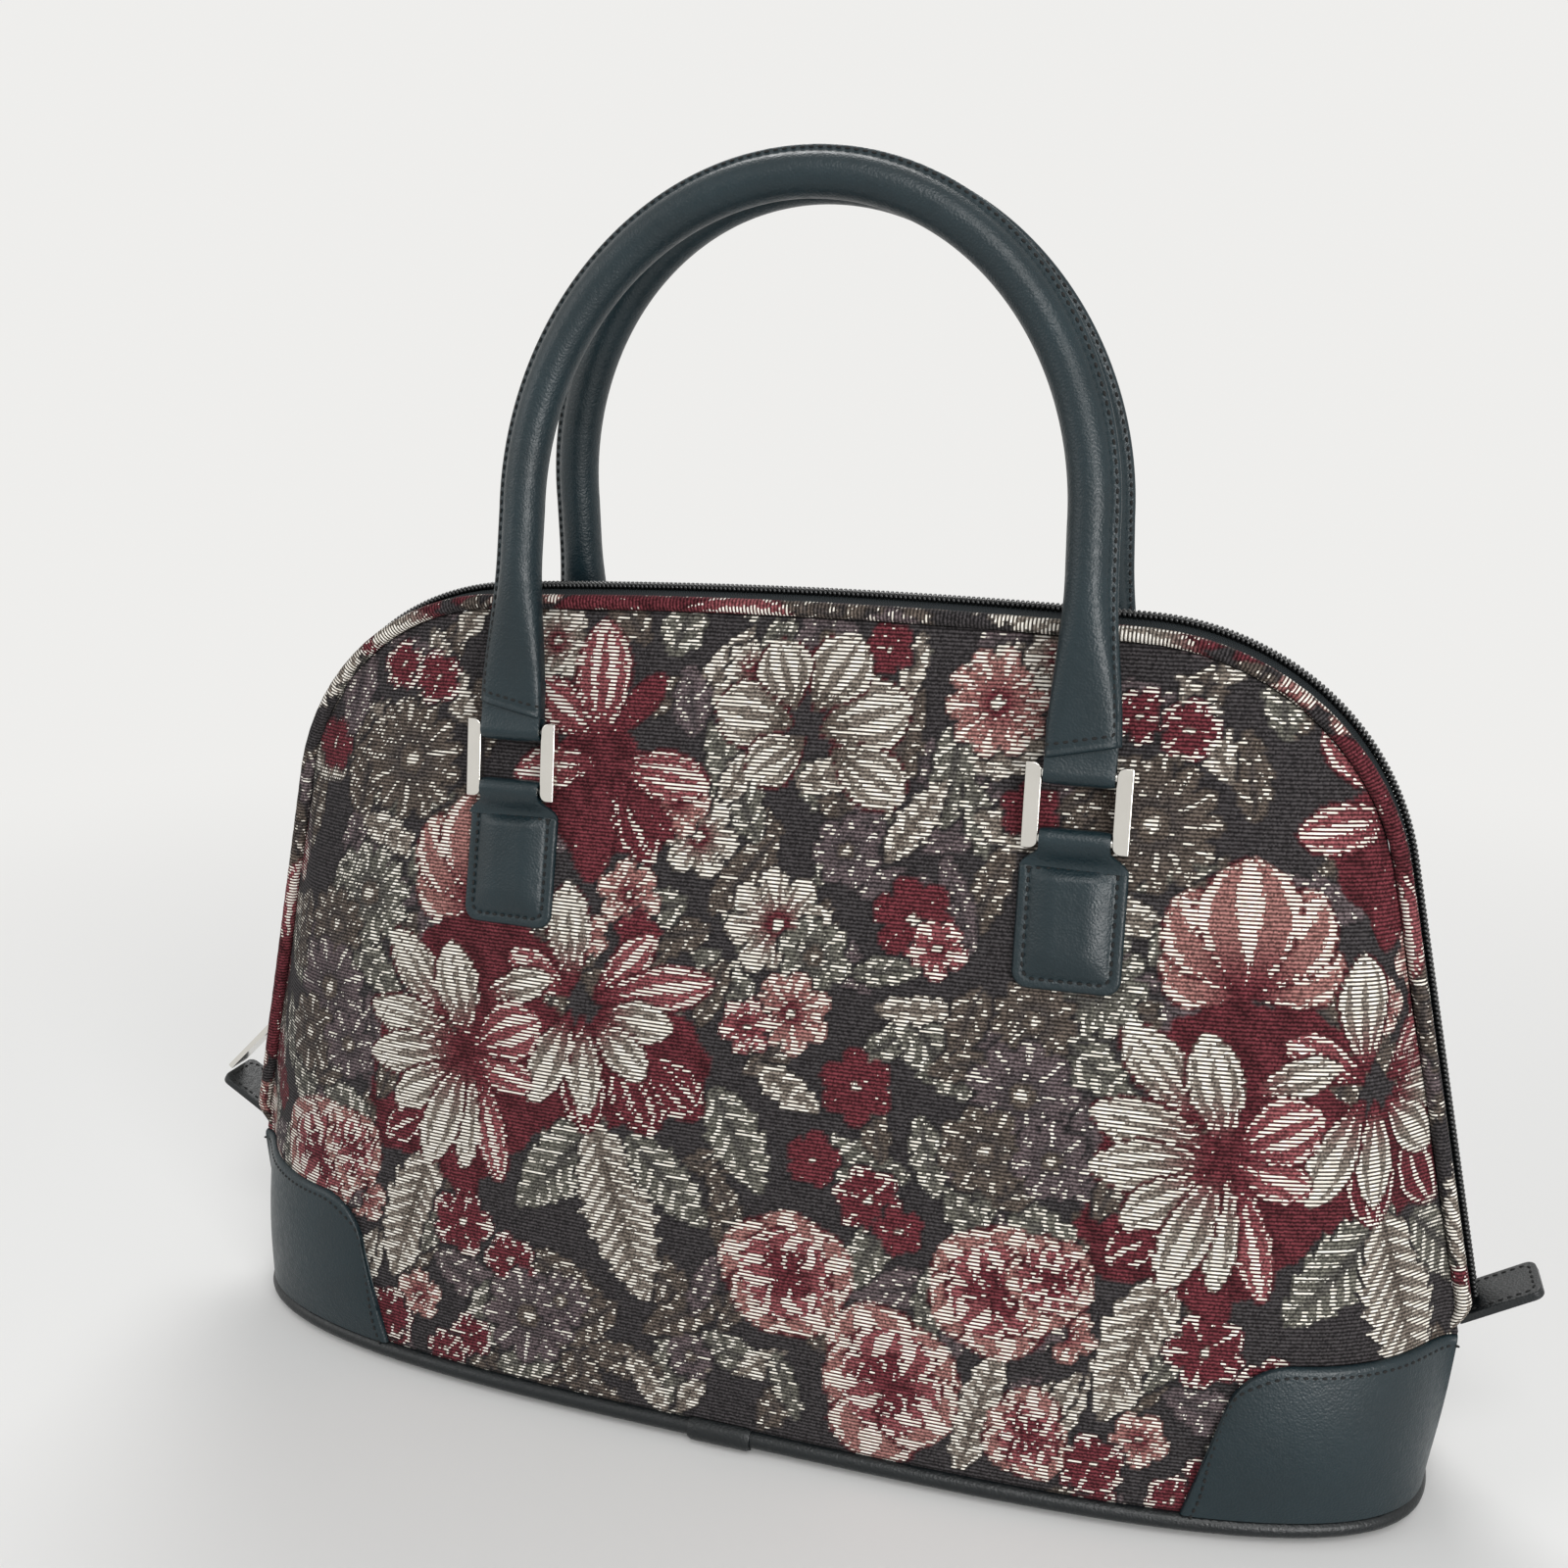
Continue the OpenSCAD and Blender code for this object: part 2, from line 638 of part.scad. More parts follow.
// One section of the handle: its place, the angle of its outward side, and how round it is
function leg_place(side, t) = [
    side * mix(ring_x, arch_half_width, t),
    leg_end_z + t * leg_length,
    side > 0 ? 0 : 180,
    smooth(t * leg_length / flat_length)
];
function arch_place(a) = [
    arch_half_width * cos(a),
    spring_z + arch_height * sin(a),
    atan2(sin(a) / arch_height, cos(a) / arch_half_width),
    1
];
handle_places = concat(
    [for (i = [0:leg_steps - 1]) leg_place(1, i / leg_steps)],
    [for (i = [0:arch_steps]) arch_place(180 * i / arch_steps)],
    [for (i = [leg_steps - 1:-1:0]) leg_place(-1, i / leg_steps)]
);
function handle_section(place) =
    let (
        r = handle_d / 2,
        half_w = mix(flat_width / 2 - lip_height * flat_lip_share, r, place[3]),
        half_t = mix(flat_wall / 2, r, place[3]),
        lip_angle = asin(lip_wall / 2 / half_t),
        power = mix(flat_power, 1, place[3]),
        round_part = [for (i = [0:section_steps])
            let (
                a = lip_angle + i * (360 - 2 * lip_angle) / section_steps,
                c = cos(a),
                s = sin(a)
            )
            [sign(c) * half_w * pow(abs(c), power), sign(s) * half_t * pow(abs(s), power)]],
        lip = half_w + lip_height * mix(flat_lip_share, 1, place[3]),
        points = concat(round_part, [[lip, -lip_wall / 2], [lip, lip_wall / 2]])
    )
    [for (p = points) [
        place.x + p.x * cos(place[2]),
        p.y,
        place.y + p.x * sin(place[2]) + p.x * tan(end_slant) * pow(1 - place[3], 2)
    ]];
module handle(y) {
    // The pocket for the strap is cut from below the slant's lowest point
    pocket_drop = over + flat_width / 2 * tan(end_slant);
    color(leather) leaned(y) difference() {
        skin([for (place = handle_places) handle_section(place)]);
        for (x = [-1, 1])
            translate([x * ring_x - strap_width / 2 - seam, -strap_stack / 2 - seam, leg_end_z - pocket_drop])
                cube([strap_width + 2 * seam, strap_stack + 2 * seam, strap_seat + pocket_drop]);
    }
}
module front_handle() {
    handle(-1);
}
module back_handle() {
    handle(1);
}

// Slider: a cap over the chain on the left flank, with a bridge for the pull's bar
slider_foot = foot_point + (slider_height - zip_foot_height) / cos(flank_lean) * flank_up;
slider_plate = 1.2;
slider_gap = 0.3;
flange_wall = 1.3;
slider_half_width = coil_width / 2 + slider_gap + flange_wall;
bridge_wall = 1.3;
// How far the bridge's feet run into the slider's plate
bridge_sink = 0.2;
pull_bar_r = 0.9;
pull_bar_play = 0.8;
bridge_room = 2 * pull_bar_r + pull_bar_play;
pull_bar_out = slider_gap + slider_plate + bridge_room / 2;
module on_left_flank() {
    translate([-slider_foot.x, 0, slider_foot.y]) rotate([0, flank_lean, 0]) mirror([1, 0, 0]) children();
}
module zip_slider() {
    flange_drop = coil_height * 0.4;
    bridge_length = slider_length * 0.68;
    bridge_width = 3;
    plate_out = slider_gap + slider_plate;
    color(stud_black) on_left_flank() {
        translate([slider_gap, -slider_half_width, -slider_length / 2])
            cube([slider_plate, 2 * slider_half_width, slider_length]);
        for (y = [-slider_half_width, slider_half_width - flange_wall])
            translate([-flange_drop, y, -slider_length / 2])
                cube([flange_drop + plate_out, flange_wall, slider_length]);
        translate([plate_out - bridge_sink, bridge_width / 2, 0]) rotate([90, 0, 0])
            linear_extrude(bridge_width) difference() {
                translate([0, -bridge_length / 2])
                    square([bridge_sink + bridge_room + bridge_wall, bridge_length]);
                translate([-over, bridge_wall - bridge_length / 2])
                    square([over + bridge_sink + bridge_room, bridge_length - 2 * bridge_wall]);
            }
    }
}

// Pull: a flat plate hung on its bar under the bridge, at rest on the leather tab
pull_pivot = slider_foot + pull_bar_out * [cos(flank_lean), sin(flank_lean)];
tab_tip = end_tab_root
    + end_tab_length * [cos(end_tab_rise), sin(end_tab_rise)]
    + end_tab_wall / 2 * [-sin(end_tab_rise), cos(end_tab_rise)];
to_tip = tab_tip - pull_pivot;
pull_rest_gap = 0.3;
pull_angle = atan2(to_tip.x, -to_tip.y) + asin((pull_wall / 2 + pull_rest_gap) / norm(to_tip));
module zip_pull() {
    window_width = 5.8;
    window_length = 6.5;
    corner = 1.5;
    $fn = 24;
    color(silver) translate([-pull_pivot.x, 0, pull_pivot.y]) rotate([0, pull_angle, 0]) {
        rotate([90, 0, 0]) translate([0, 0, -pull_width / 2]) cylinder(r = pull_bar_r, h = pull_width);
        translate([-pull_wall / 2, 0, 0]) rotate([90, 0, 90]) linear_extrude(pull_wall) difference() {
            union() {
                translate([-pull_width / 2, corner - pull_length])
                    square([pull_width, pull_length - corner]);
                translate([corner - pull_width / 2, -pull_length])
                    square([pull_width - 2 * corner, pull_length]);
                for (side = [-1, 1])
                    translate([side * (pull_width / 2 - corner), corner - pull_length]) circle(corner);
            }
            translate([-window_width / 2, -window_length]) square([window_width, window_length + over]);
        }
    }
}

front_panel();
back_panel();
front_piping();
back_piping();
front_zip_tape();
back_zip_tape();
zip_chain();
left_zip_tab();
right_zip_tab();
left_end_cap();
right_end_cap();
base_panel();
base_board();
base_piping();
base_piping_lap();
foot(-1, -1);  // front_left_foot
foot(1, -1);  // front_right_foot
foot(-1, 1);  // back_left_foot
foot(1, 1);  // back_right_foot
foot_washers();
tab_at(-1, -1);  // front_left_tab
tab_at(1, -1);  // front_right_tab
tab_at(-1, 1);  // back_left_tab
tab_at(1, 1);  // back_right_tab
ring(-1, -1);  // front_left_ring
ring(1, -1);  // front_right_ring
ring(-1, 1);  // back_left_ring
ring(1, 1);  // back_right_ring
strap(-1, -1);  // front_left_strap
strap(1, -1);  // front_right_strap
strap(-1, 1);  // back_left_strap
strap(1, 1);  // back_right_strap
front_handle();
back_handle();
zip_slider();
zip_pull();
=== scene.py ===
import json
import math

import bmesh
import bpy
import numpy as np
from mathutils import Matrix, Vector


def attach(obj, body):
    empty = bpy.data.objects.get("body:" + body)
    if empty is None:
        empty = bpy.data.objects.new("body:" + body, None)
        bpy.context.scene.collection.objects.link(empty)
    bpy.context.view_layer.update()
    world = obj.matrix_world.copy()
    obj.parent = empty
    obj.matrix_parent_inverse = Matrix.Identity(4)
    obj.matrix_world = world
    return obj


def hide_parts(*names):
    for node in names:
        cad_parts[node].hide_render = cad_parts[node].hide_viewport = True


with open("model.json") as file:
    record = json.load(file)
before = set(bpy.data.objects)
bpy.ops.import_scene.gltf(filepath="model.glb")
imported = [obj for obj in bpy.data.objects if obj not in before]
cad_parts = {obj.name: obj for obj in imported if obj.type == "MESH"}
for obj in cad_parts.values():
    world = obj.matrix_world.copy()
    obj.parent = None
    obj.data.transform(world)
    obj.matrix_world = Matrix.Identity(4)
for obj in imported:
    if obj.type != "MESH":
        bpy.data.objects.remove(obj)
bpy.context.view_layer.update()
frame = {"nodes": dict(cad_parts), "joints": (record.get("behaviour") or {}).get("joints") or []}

# Cloth panels
# The front and back are floral tapestry over thin foam, cut to the dome and swelled out a little.
# Each is sewn to its piping round the dome and to the leather trim at the base.
mm = 0.001
base_length, base_depth, base_squareness = 412, 126, 3.2
base_piping_r, foot_drop, seam = 2.8, 3, 0.15
body_height, zip_foot_span, zip_foot_height = 271, 433, 60.5
flank_lean, shoulder_r, crown_r = math.radians(12.7), 86, 2100
panel_swell, panel_wall = 8, 4
piping_r, piping_offset, zip_crest = 2.4, 13.2, 5
plan_length = base_length / 2 - base_piping_r
plan_depth = base_depth / 2 - base_piping_r
panel_foot_z = foot_drop + 2 * base_piping_r + seam

# The dome is a slight crown arc, two shoulder arcs and two straight flanks
flank_up = np.array([-math.sin(flank_lean), math.cos(flank_lean)])
flank_out = np.array([math.cos(flank_lean), math.sin(flank_lean)])
zip_foot = np.array([zip_foot_span / 2, zip_foot_height])
shoulder_start = zip_foot - shoulder_r * flank_out
to_start = shoulder_start - np.array([0, body_height - crown_r])
half_b = to_start @ flank_up
flank_length = -half_b + math.sqrt(half_b ** 2 - to_start @ to_start + (crown_r - shoulder_r) ** 2)
shoulder_centre = shoulder_start + flank_length * flank_up
flank_angle = math.pi / 2 - flank_lean
crown_angle = math.atan2(shoulder_centre[0], shoulder_centre[1] - body_height + crown_r)
crown_length = crown_r * crown_angle
shoulder_length = shoulder_r * (flank_angle - crown_angle)
dome_length = crown_length + shoulder_length + flank_length
end_angle = math.asin((piping_offset / plan_depth) ** (base_squareness / 2))


def dome(s):
    """x, z and the angle of the outward normal at distances s from the top of the dome."""
    side, t = np.where(s < 0, -1.0, 1.0), np.abs(s)
    spans = [t <= crown_length, t <= crown_length + shoulder_length]
    crown, shoulder = t / crown_r, crown_angle + (t - crown_length) / shoulder_r
    crown_x, crown_z = crown_r * np.sin(crown), body_height - crown_r + crown_r * np.cos(crown)
    shoulder_x = shoulder_centre[0] + shoulder_r * np.sin(shoulder)
    shoulder_z = shoulder_centre[1] + shoulder_r * np.cos(shoulder)
    flank_x, flank_z = (zip_foot[i] + (dome_length - t) * flank_up[i] for i in (0, 1))
    x = np.select(spans, [crown_x, shoulder_x], flank_x)
    z = np.select(spans, [crown_z, shoulder_z], flank_z)
    return side * x, z, side * np.select(spans, [crown, shoulder], flank_angle)


def across_dome(s, out, y):
    """Points at distances s along the dome, set outwards from it and in depth."""
    x, z, angle = dome(s)
    return np.stack([x + out * np.sin(angle), y + 0 * x, z + out * np.cos(angle)], -1)


def panel_point(u, w):
    """The front panel's face: u runs along it from -1 to 1, w up it from 0 to 1."""
    angle = math.pi / 2 - np.abs(u) * (math.pi / 2 - end_angle)
    low_x = np.sign(u) * plan_length * np.cos(angle) ** (2 / base_squareness)
    low_y = -plan_depth * np.sin(angle) ** (2 / base_squareness)
    low = np.stack([low_x, low_y, panel_foot_z + 0 * angle], -1)
    high = across_dome(u * dome_length, -zip_crest - piping_r - seam, -piping_offset)
    point = low + (high - low) * w[..., None]
    point[..., 1] -= 4 * w * (1 - w) * (1 - u * u) * panel_swell
    return point


def unit(vectors):
    """The same directions, with length one."""
    return vectors / np.linalg.norm(vectors, axis=-1, keepdims=True)


def panel_normal(u, w, step=0.004):
    """Outward normals of the front panel's face."""
    along = panel_point(np.minimum(u + step, 1), w) - panel_point(np.maximum(u - step, -1), w)
    up = panel_point(u, np.minimum(w + step, 1)) - panel_point(u, np.maximum(w - step, 0))
    return unit(np.cross(along, up))


def run_along(points):
    """Distances of a line's points from its start."""
    return np.concatenate([[0], np.cumsum(np.linalg.norm(np.diff(points, axis=0), axis=1))])


def even_columns(count, samples=2001):
    """Values of u for columns that stand about evenly, by the mean of their runs at foot and top."""
    u = np.linspace(0, 1, samples)
    run = sum(run_along(panel_point(u, np.full_like(u, w))) for w in (0, 1))
    half = np.interp(np.linspace(0, run[-1], count // 2 + 1), run, u)
    return np.concatenate([-half[:0:-1], half])


def cloth_run(u, points, level_count=90):
    """Distance of each point of the panel from its middle, along a level line of the cloth."""
    heights = points[..., 2]
    levels = np.linspace(heights.min(), heights.max(), level_count)
    top = panel_point(u, np.ones_like(u))[:, 2]
    w = (levels - panel_foot_z) / (top[:, None] - panel_foot_z)
    level = panel_point(np.repeat(u[:, None], level_count, 1), w)
    steps = np.linalg.norm(np.diff(level, axis=0)[..., :2], axis=-1)
    run = np.concatenate([np.zeros((1, level_count)), np.cumsum(steps, axis=0)])
    run -= run[len(u) // 2]
    place = (heights - levels[0]) / (levels[1] - levels[0])
    below = np.clip(place.astype(int), 0, level_count - 2)
    share = place - below
    column = np.arange(len(u))[:, None]
    return run[column, below] * (1 - share) + run[column, below + 1] * share


def tone(code):
    """Linear colour of a six-digit colour code."""
    parts = [int(code[i:i + 2], 16) / 255 for i in (0, 2, 4)]
    return np.array([p / 12.92 if p <= 0.04045 else ((p + 0.055) / 1.055) ** 2.4 for p in parts])


# Thread colours of the tapestry: a ground, and the colours that show between the cream threads
ground = tone("393637")
wine, rose, blush = tone("602c32"), tone("80494c"), tone("8f6560")
taupe, stone, sage, mauve = tone("574e47"), tone("7b7269"), tone("64625a"), tone("5d5254")
# Each finish of a petal or leaf: colour at its base, colour at its tip, share of cream threads in its gaps,
# how far its cream strokes close up towards the tip, and the share of cream along its rim
finishes = {
    "pink": (wine, rose, 0.0, 1.45, 0.85), "white": (wine, stone, 0.04, 1.9, 1.0),
    "blush": (wine, blush, 0.03, 1.3, 0.8), "wine": (wine, wine, 0.0, 0.0, 0.2),
    "trim": (wine, wine, 0.0, 0.55, 0.9), "pale": (taupe, stone, 0.12, 1.6, 0.95),
    "sage": (ground, sage, 0.08, 1.0, 0.6), "taupe": (ground, taupe, 0.06, 0.5, 0.3),
    "mauve": (ground, mauve, 0.06, 0.45, 0.25),
}
cloth_repeat = 242

# The repeat, from the back of the design to its front, in millimetres from the panel's middle and the floor
# Sprigs fill the ground evenly under the rest
sprigs = [
    (
        -150 + cloth_repeat * (0.7549 * i % 1), 6 + 262 * (0.5698 * i % 1), 137.5 * i,
        22 + 16 * (0.382 * i % 1), 10 + 7 * (0.382 * i % 1), ("taupe", "mauve", "sage", "taupe")[i % 4],
    )
    for i in range(96)
]
wine_fields = [  # x, z, half width, half height
    (-88, 118, 22, 30), (-40, 124, 22, 18), (-112, 96, 30, 22), (-62, 112, 30, 12), (-60, 206, 20, 20),
    (-98, 150, 26, 14), (-128, 112, 12, 18),
]
leaves = [  # x, z, direction, length, width, finish
    (-52, 104, 228, 46, 24, "sage"), (-56, 102, 290, 60, 28, "pale"), (-44, 100, 318, 38, 18, "sage"),
    (-117, 82, 252, 50, 24, "pale"), (-104, 70, 236, 30, 10, "sage"), (-138, 96, 70, 30, 10, "taupe"),
    (-16, 120, 300, 36, 20, "sage"), (-12, 94, 276, 32, 10, "taupe"), (-2, 128, 332, 24, 12, "pale"),
    (42, 152, 312, 34, 19, "sage"), (34, 150, 6, 26, 9, "pale"), (50, 120, 286, 26, 12, "sage"),
    (34, 194, 56, 30, 12, "pale"), (29, 203, 74, 44, 15, "taupe"), (30, 196, 100, 22, 10, "mauve"),
    (68, 10, 76, 46, 15, "pale"), (92, 22, 64, 30, 11, "pale"), (62, 46, 118, 22, 9, "sage"),
    (64, 44, 88, 30, 9, "mauve"), (12, 38, 214, 20, 9, "pale"), (8, 38, 292, 24, 9, "sage"),
    (-42, 28, 306, 26, 9, "pale"), (-24, 10, 60, 20, 8, "pale"), (-20, 44, 72, 24, 8, "mauve"),
    (-10, 40, 66, 26, 8, "taupe"), (-66, 20, 200, 26, 14, "sage"), (-92, 42, 262, 30, 16, "sage"),
    (-60, 14, 330, 22, 12, "taupe"), (-146, 44, 228, 24, 10, "pale"), (-150, 30, 60, 22, 8, "pale"),
    (60, 172, 70, 34, 12, "taupe"), (62, 170, 110, 30, 10, "mauve"), (66, 160, 250, 22, 14, "taupe"),
    (84, 170, 40, 22, 12, "mauve"), (90, 190, 80, 30, 18, "taupe"), (70, 140, 200, 20, 10, "taupe"),
    (-146, 196, 8, 34, 12, "sage"), (-150, 190, 340, 28, 12, "pale"), (-150, 226, 350, 36, 12, "pale"),
    (-128, 172, 40, 26, 20, "sage"), (-146, 176, 330, 24, 12, "mauve"), (-160, 150, 80, 30, 12, "sage"),
    (-110, 224, 120, 34, 12, "pale"), (-116, 250, 60, 20, 10, "pale"), (-96, 236, 100, 26, 12, "sage"),
    (-32, 232, 56, 34, 12, "pale"), (-30, 226, 100, 22, 14, "mauve"), (-40, 250, 70, 20, 16, "sage"),
    (-6, 196, 120, 40, 16, "sage"), (4, 214, 20, 24, 12, "pale"), (-20, 206, 60, 22, 10, "pale"),
    (52, 250, 20, 26, 9, "pale"), (36, 240, 80, 22, 8, "pale"), (58, 224, 20, 22, 14, "pale"),
    (60, 210, 340, 24, 12, "pale"), (-28, 176, 200, 26, 14, "sage"), (-14, 160, 250, 24, 10, "taupe"),
    (20, 150, 200, 26, 12, "sage"), (26, 160, 10, 22, 10, "sage"), (40, 104, 110, 22, 10, "taupe"),
    (-4, 74, 120, 26, 9, "taupe"), (100, 84, 150, 26, 16, "sage"), (74, 96, 40, 22, 12, "taupe"),
]
blossoms = [  # x, z, radius, petals, finish
    (-131, 211, 20, 13, "taupe"), (-145, 165, 17, 12, "sage"), (-137, 241, 8, 5, "trim"),
    (-123, 238, 9, 5, "trim"), (-104, 60, 12, 5, "trim"), (-85, 50, 10, 5, "trim"),
    (-121, 30, 9, 5, "blush"), (-78, 32, 17, 9, "mauve"), (-66, 40, 10, 7, "mauve"),
    (-100, 20, 8, 5, "trim"), (-134, 14, 9, 5, "trim"), (-110, 12, 8, 6, "trim"), (2, 172, 17, 8, "white"),
    (14, 164, 12, 6, "sage"), (8, 146, 13, 7, "blush"), (-6, 140, 9, 6, "pink"), (-26, 196, 13, 6, "white"),
    (-34, 206, 11, 6, "blush"), (-14, 248, 8, 6, "white"), (-4, 256, 7, 6, "sage"),
    (44, 178, 13, 6, "wine"), (52, 170, 9, 5, "pink"), (30, 126, 12, 6, "wine"), (18, 102, 9, 5, "wine"),
    (36, 92, 11, 6, "trim"), (46, 84, 8, 5, "wine"), (64, 242, 16, 10, "blush"), (80, 256, 10, 6, "white"),
    (82, 152, 13, 11, "taupe"), (80, 130, 17, 9, "mauve"), (70, 112, 14, 8, "taupe"),
    (90, 112, 12, 7, "mauve"), (-80, 252, 12, 7, "white"), (30, 256, 8, 5, "wine"),
    (10, 258, 10, 6, "mauve"), (22, 196, 11, 7, "mauve"), (-20, 30, 8, 5, "mauve"), (98, 60, 9, 5, "blush"),
    (108, 20, 10, 5, "trim"), (-152, 62, 8, 5, "mauve"), (-62, 162, 8, 5, "blush"),
    (-48, 176, 11, 6, "blush"), (-44, 164, 8, 5, "wine"), (76, 212, 9, 6, "wine"),
]
petals = [  # x, z, direction, length, width, finish
    (2, 232, 172, 26, 20, "pale"), (6, 228, 216, 22, 16, "pale"), (10, 230, 20, 30, 22, "pale"),
    (14, 226, 330, 28, 18, "pale"), (8, 236, 60, 26, 20, "pale"), (2, 236, 110, 22, 18, "pale"),
    (-101, 166, 160, 26, 22, "blush"), (-101, 166, 22, 28, 20, "blush"), (-101, 166, 128, 34, 26, "blush"),
    (-101, 166, 58, 34, 26, "blush"), (-101, 164, 93, 40, 30, "blush"),
    (-62, 222, 144, 30, 14, "pink"), (-62, 216, 192, 30, 14, "pink"), (-58, 224, 50, 26, 9, "wine"),
    (-56, 212, 300, 30, 13, "trim"), (-60, 212, 266, 34, 14, "wine"), (-57, 216, 352, 34, 15, "pink"),
    (-62, 220, 92, 40, 19, "pink"), (-52, 208, 322, 22, 9, "wine"),
    (-50, 130, 298, 32, 19, "trim"), (-40, 128, 318, 28, 15, "trim"), (-64, 132, 280, 34, 16, "trim"),
    (-58, 142, 48, 30, 11, "pink"), (-66, 142, 154, 26, 12, "pink"), (-58, 142, 14, 42, 14, "pink"),
    (-66, 144, 96, 34, 15, "white"), (-56, 138, 355, 26, 13, "white"), (-58, 136, 318, 26, 13, "white"),
    (-62, 136, 276, 32, 12, "white"), (-66, 137, 248, 34, 14, "white"),
    (-110, 128, 132, 36, 15, "white"), (-98, 138, 20, 26, 11, "white"), (-118, 96, 214, 20, 12, "trim"),
    (-112, 90, 300, 24, 12, "wine"), (-103, 118, 342, 26, 13, "pink"), (-101, 120, 28, 27, 20, "pink"),
    (-103, 121, 104, 34, 16, "white"), (-105, 121, 168, 38, 15, "white"), (-105, 118, 190, 37, 15, "white"),
    (-107, 114, 216, 30, 13, "white"), (-99, 115, 284, 40, 11, "pink"), (-102, 116, 268, 38, 10, "white"),
    (-104, 117, 250, 42, 14, "white"),
]
roses = [  # x, z, half width, half height, turn
    (11, 64, 21, 19, 20), (76, 70, 19, 20, 70), (45, 34, 19, 26, 40), (88, 26, 11, 15, 10),
    (-150, 76, 12, 14, 50),
]

# Widths of the motifs' outlines, rims, ribs and notches, how strokes begin, and the outlines' colours
outline_gap, petal_rim, leaf_rim, leaf_rib, notch_run = 0.9, 1.2, 1.1, 5.6, 7
stroke_level, stroke_edge = 1.05, 2.2
petal_outline, leaf_outline = wine * 0.55, ground * 0.7


def eased(value):
    """A smooth step from 0 to 1."""
    value = np.clip(value, 0, 1)
    return value * value * (3 - 2 * value)


def strokes(wave, closing, gap):
    """Share of cream threads in strokes that follow a wave and close up."""
    return gap + (1 - gap) * np.clip((wave - stroke_level + closing) * stroke_edge + 0.5, 0, 1)


def weave(x, z):
    """The tapestry's field colour and share of cream threads at points of the cloth."""
    colour = np.repeat(ground[None, :], len(x), 0)
    cream = np.zeros(len(x))

    def lay(where, field, share):
        colour[where] = field[where] if np.ndim(field) > 1 else field
        cream[where] = share[where] if np.ndim(share) else share

    def blade(cx, cz, direction, length, width, belly, notch):
        c, s = math.cos(math.radians(direction)), math.sin(math.radians(direction))
        along, across = (x - cx) * c + (z - cz) * s, np.abs((z - cz) * c - (x - cx) * s)
        t = np.clip(along / length, 0, 1)
        half = width / 2 * np.sin(math.pi * t ** (math.log(0.5) / math.log(belly))) ** 0.7
        half = half * (1 - notch * np.mod(along / notch_run + 0.3, 1))
        near = (along > 0) & (along < length)
        return along, across, t, across / np.maximum(half, 0.3), half, near

    def draw_petal(cx, cz, direction, length, width, finish):
        deep, tip, gap, close, rim = finishes[finish]
        along, across, t, q, half, near = blade(cx, cz, direction, length, width, 0.6, 0.06)
        lay(near & (across < half + outline_gap), petal_outline, 0.0)
        count = (3 if width > 14 else 2) - (finish == "blush")
        threads = strokes(np.cos(math.pi * count * (1 - q)), close * eased(t * 1.15), gap)
        threads = np.where(((half - across < petal_rim) & (t > 0.2)) | (t > 0.95), rim, threads)
        field = deep + (tip - deep) * eased((t - 0.05) / 0.55)[:, None]
        lay(near & (across < half), field, threads)

    def draw_leaf(cx, cz, direction, length, width, finish):
        deep, tip, gap, close, rim = finishes[finish]
        along, across, t, q, half, near = blade(cx, cz, direction, length, width, 0.45, 0.24)
        lay(near & (across < half + outline_gap), leaf_outline, 0.0)
        wave = np.cos((along - 0.9 * across) * 2 * math.pi / leaf_rib + cx)
        threads = strokes(wave, close * (0.2 + 0.75 * q), gap)
        threads = np.where((half - across < leaf_rim) & (t > 0.12), rim, threads)
        threads = np.where(across < 0.7, 0.0, threads)
        field = tip + (deep - tip) * (0.8 * eased(1 - q / 0.4) * eased(1.3 - t))[:, None]
        lay(near & (across < half), field, threads)

    def draw_blossom(cx, cz, radius, count, finish):
        deep, tip, gap, close, rim = finishes[finish]
        distance, turn = np.hypot(x - cx, z - cz), np.arctan2(z - cz, x - cx)
        q = np.abs(2 * np.mod(count * turn / (2 * math.pi) + 0.13 * cx, 1) - 1)
        edge = radius * (0.6 + 0.4 * np.sqrt(np.clip(1 - q * q, 0, 1)))
        t = distance / edge
        lay(distance < edge + outline_gap, leaf_outline, 0.0)
        threads = strokes(np.cos(2 * math.pi * (1 - q)), close * eased(t * 1.1), gap)
        threads = np.where(edge - distance < petal_rim, rim, threads)
        field = deep + (tip - deep) * eased(t * 1.2)[:, None]
        lay(t < 1, field, np.where(q > 0.86, 0.0, threads))
        lay(distance < 0.24 * radius, wine * 0.8 if deep is wine else taupe, 0.0)
        lay(distance < 0.11 * radius, stone, 1.0)

    def draw_rose(cx, cz, half_width, half_height, turn):
        size = (half_width + half_height) / 2
        layers = [(1.08, 5, 1.3, "blush"), (0.74, 3, 1.2, "pink"), (0.42, 2, 0.7, "trim")]
        for ring, (reach, count, wide, finish) in enumerate(layers):
            for i in range(count):
                a = turn + ring * 41 + 360 * i / count
                c, s = math.cos(math.radians(a)), math.sin(math.radians(a))
                length = math.hypot(half_width * c, half_height * s) * reach
                draw_petal(cx, cz, a, length, wide * size, finish)

    def draw_field(cx, cz, half_width, half_height):
        reach = ((x - cx) / half_width) ** 2 + ((z - cz) / half_height) ** 2
        folds = 0.8 + 0.3 * np.sin((x - cx) * 0.5 + 0.35 * (z - cz)) * np.cos((z - cz) * 0.23)
        lay(reach + 0.2 * np.sin(x * 0.31) * np.cos(z * 0.27) < 1, wine * folds[:, None], 0.0)

    for draw, motifs in (
        (draw_leaf, sprigs), (draw_field, wine_fields), (draw_leaf, leaves), (draw_blossom, blossoms),
        (draw_rose, roses), (draw_petal, petals),
    ):
        for cx, *rest in motifs:
            for shift in (-cloth_repeat, 0, cloth_repeat):
                draw(cx + shift, *rest)
    return colour, cream


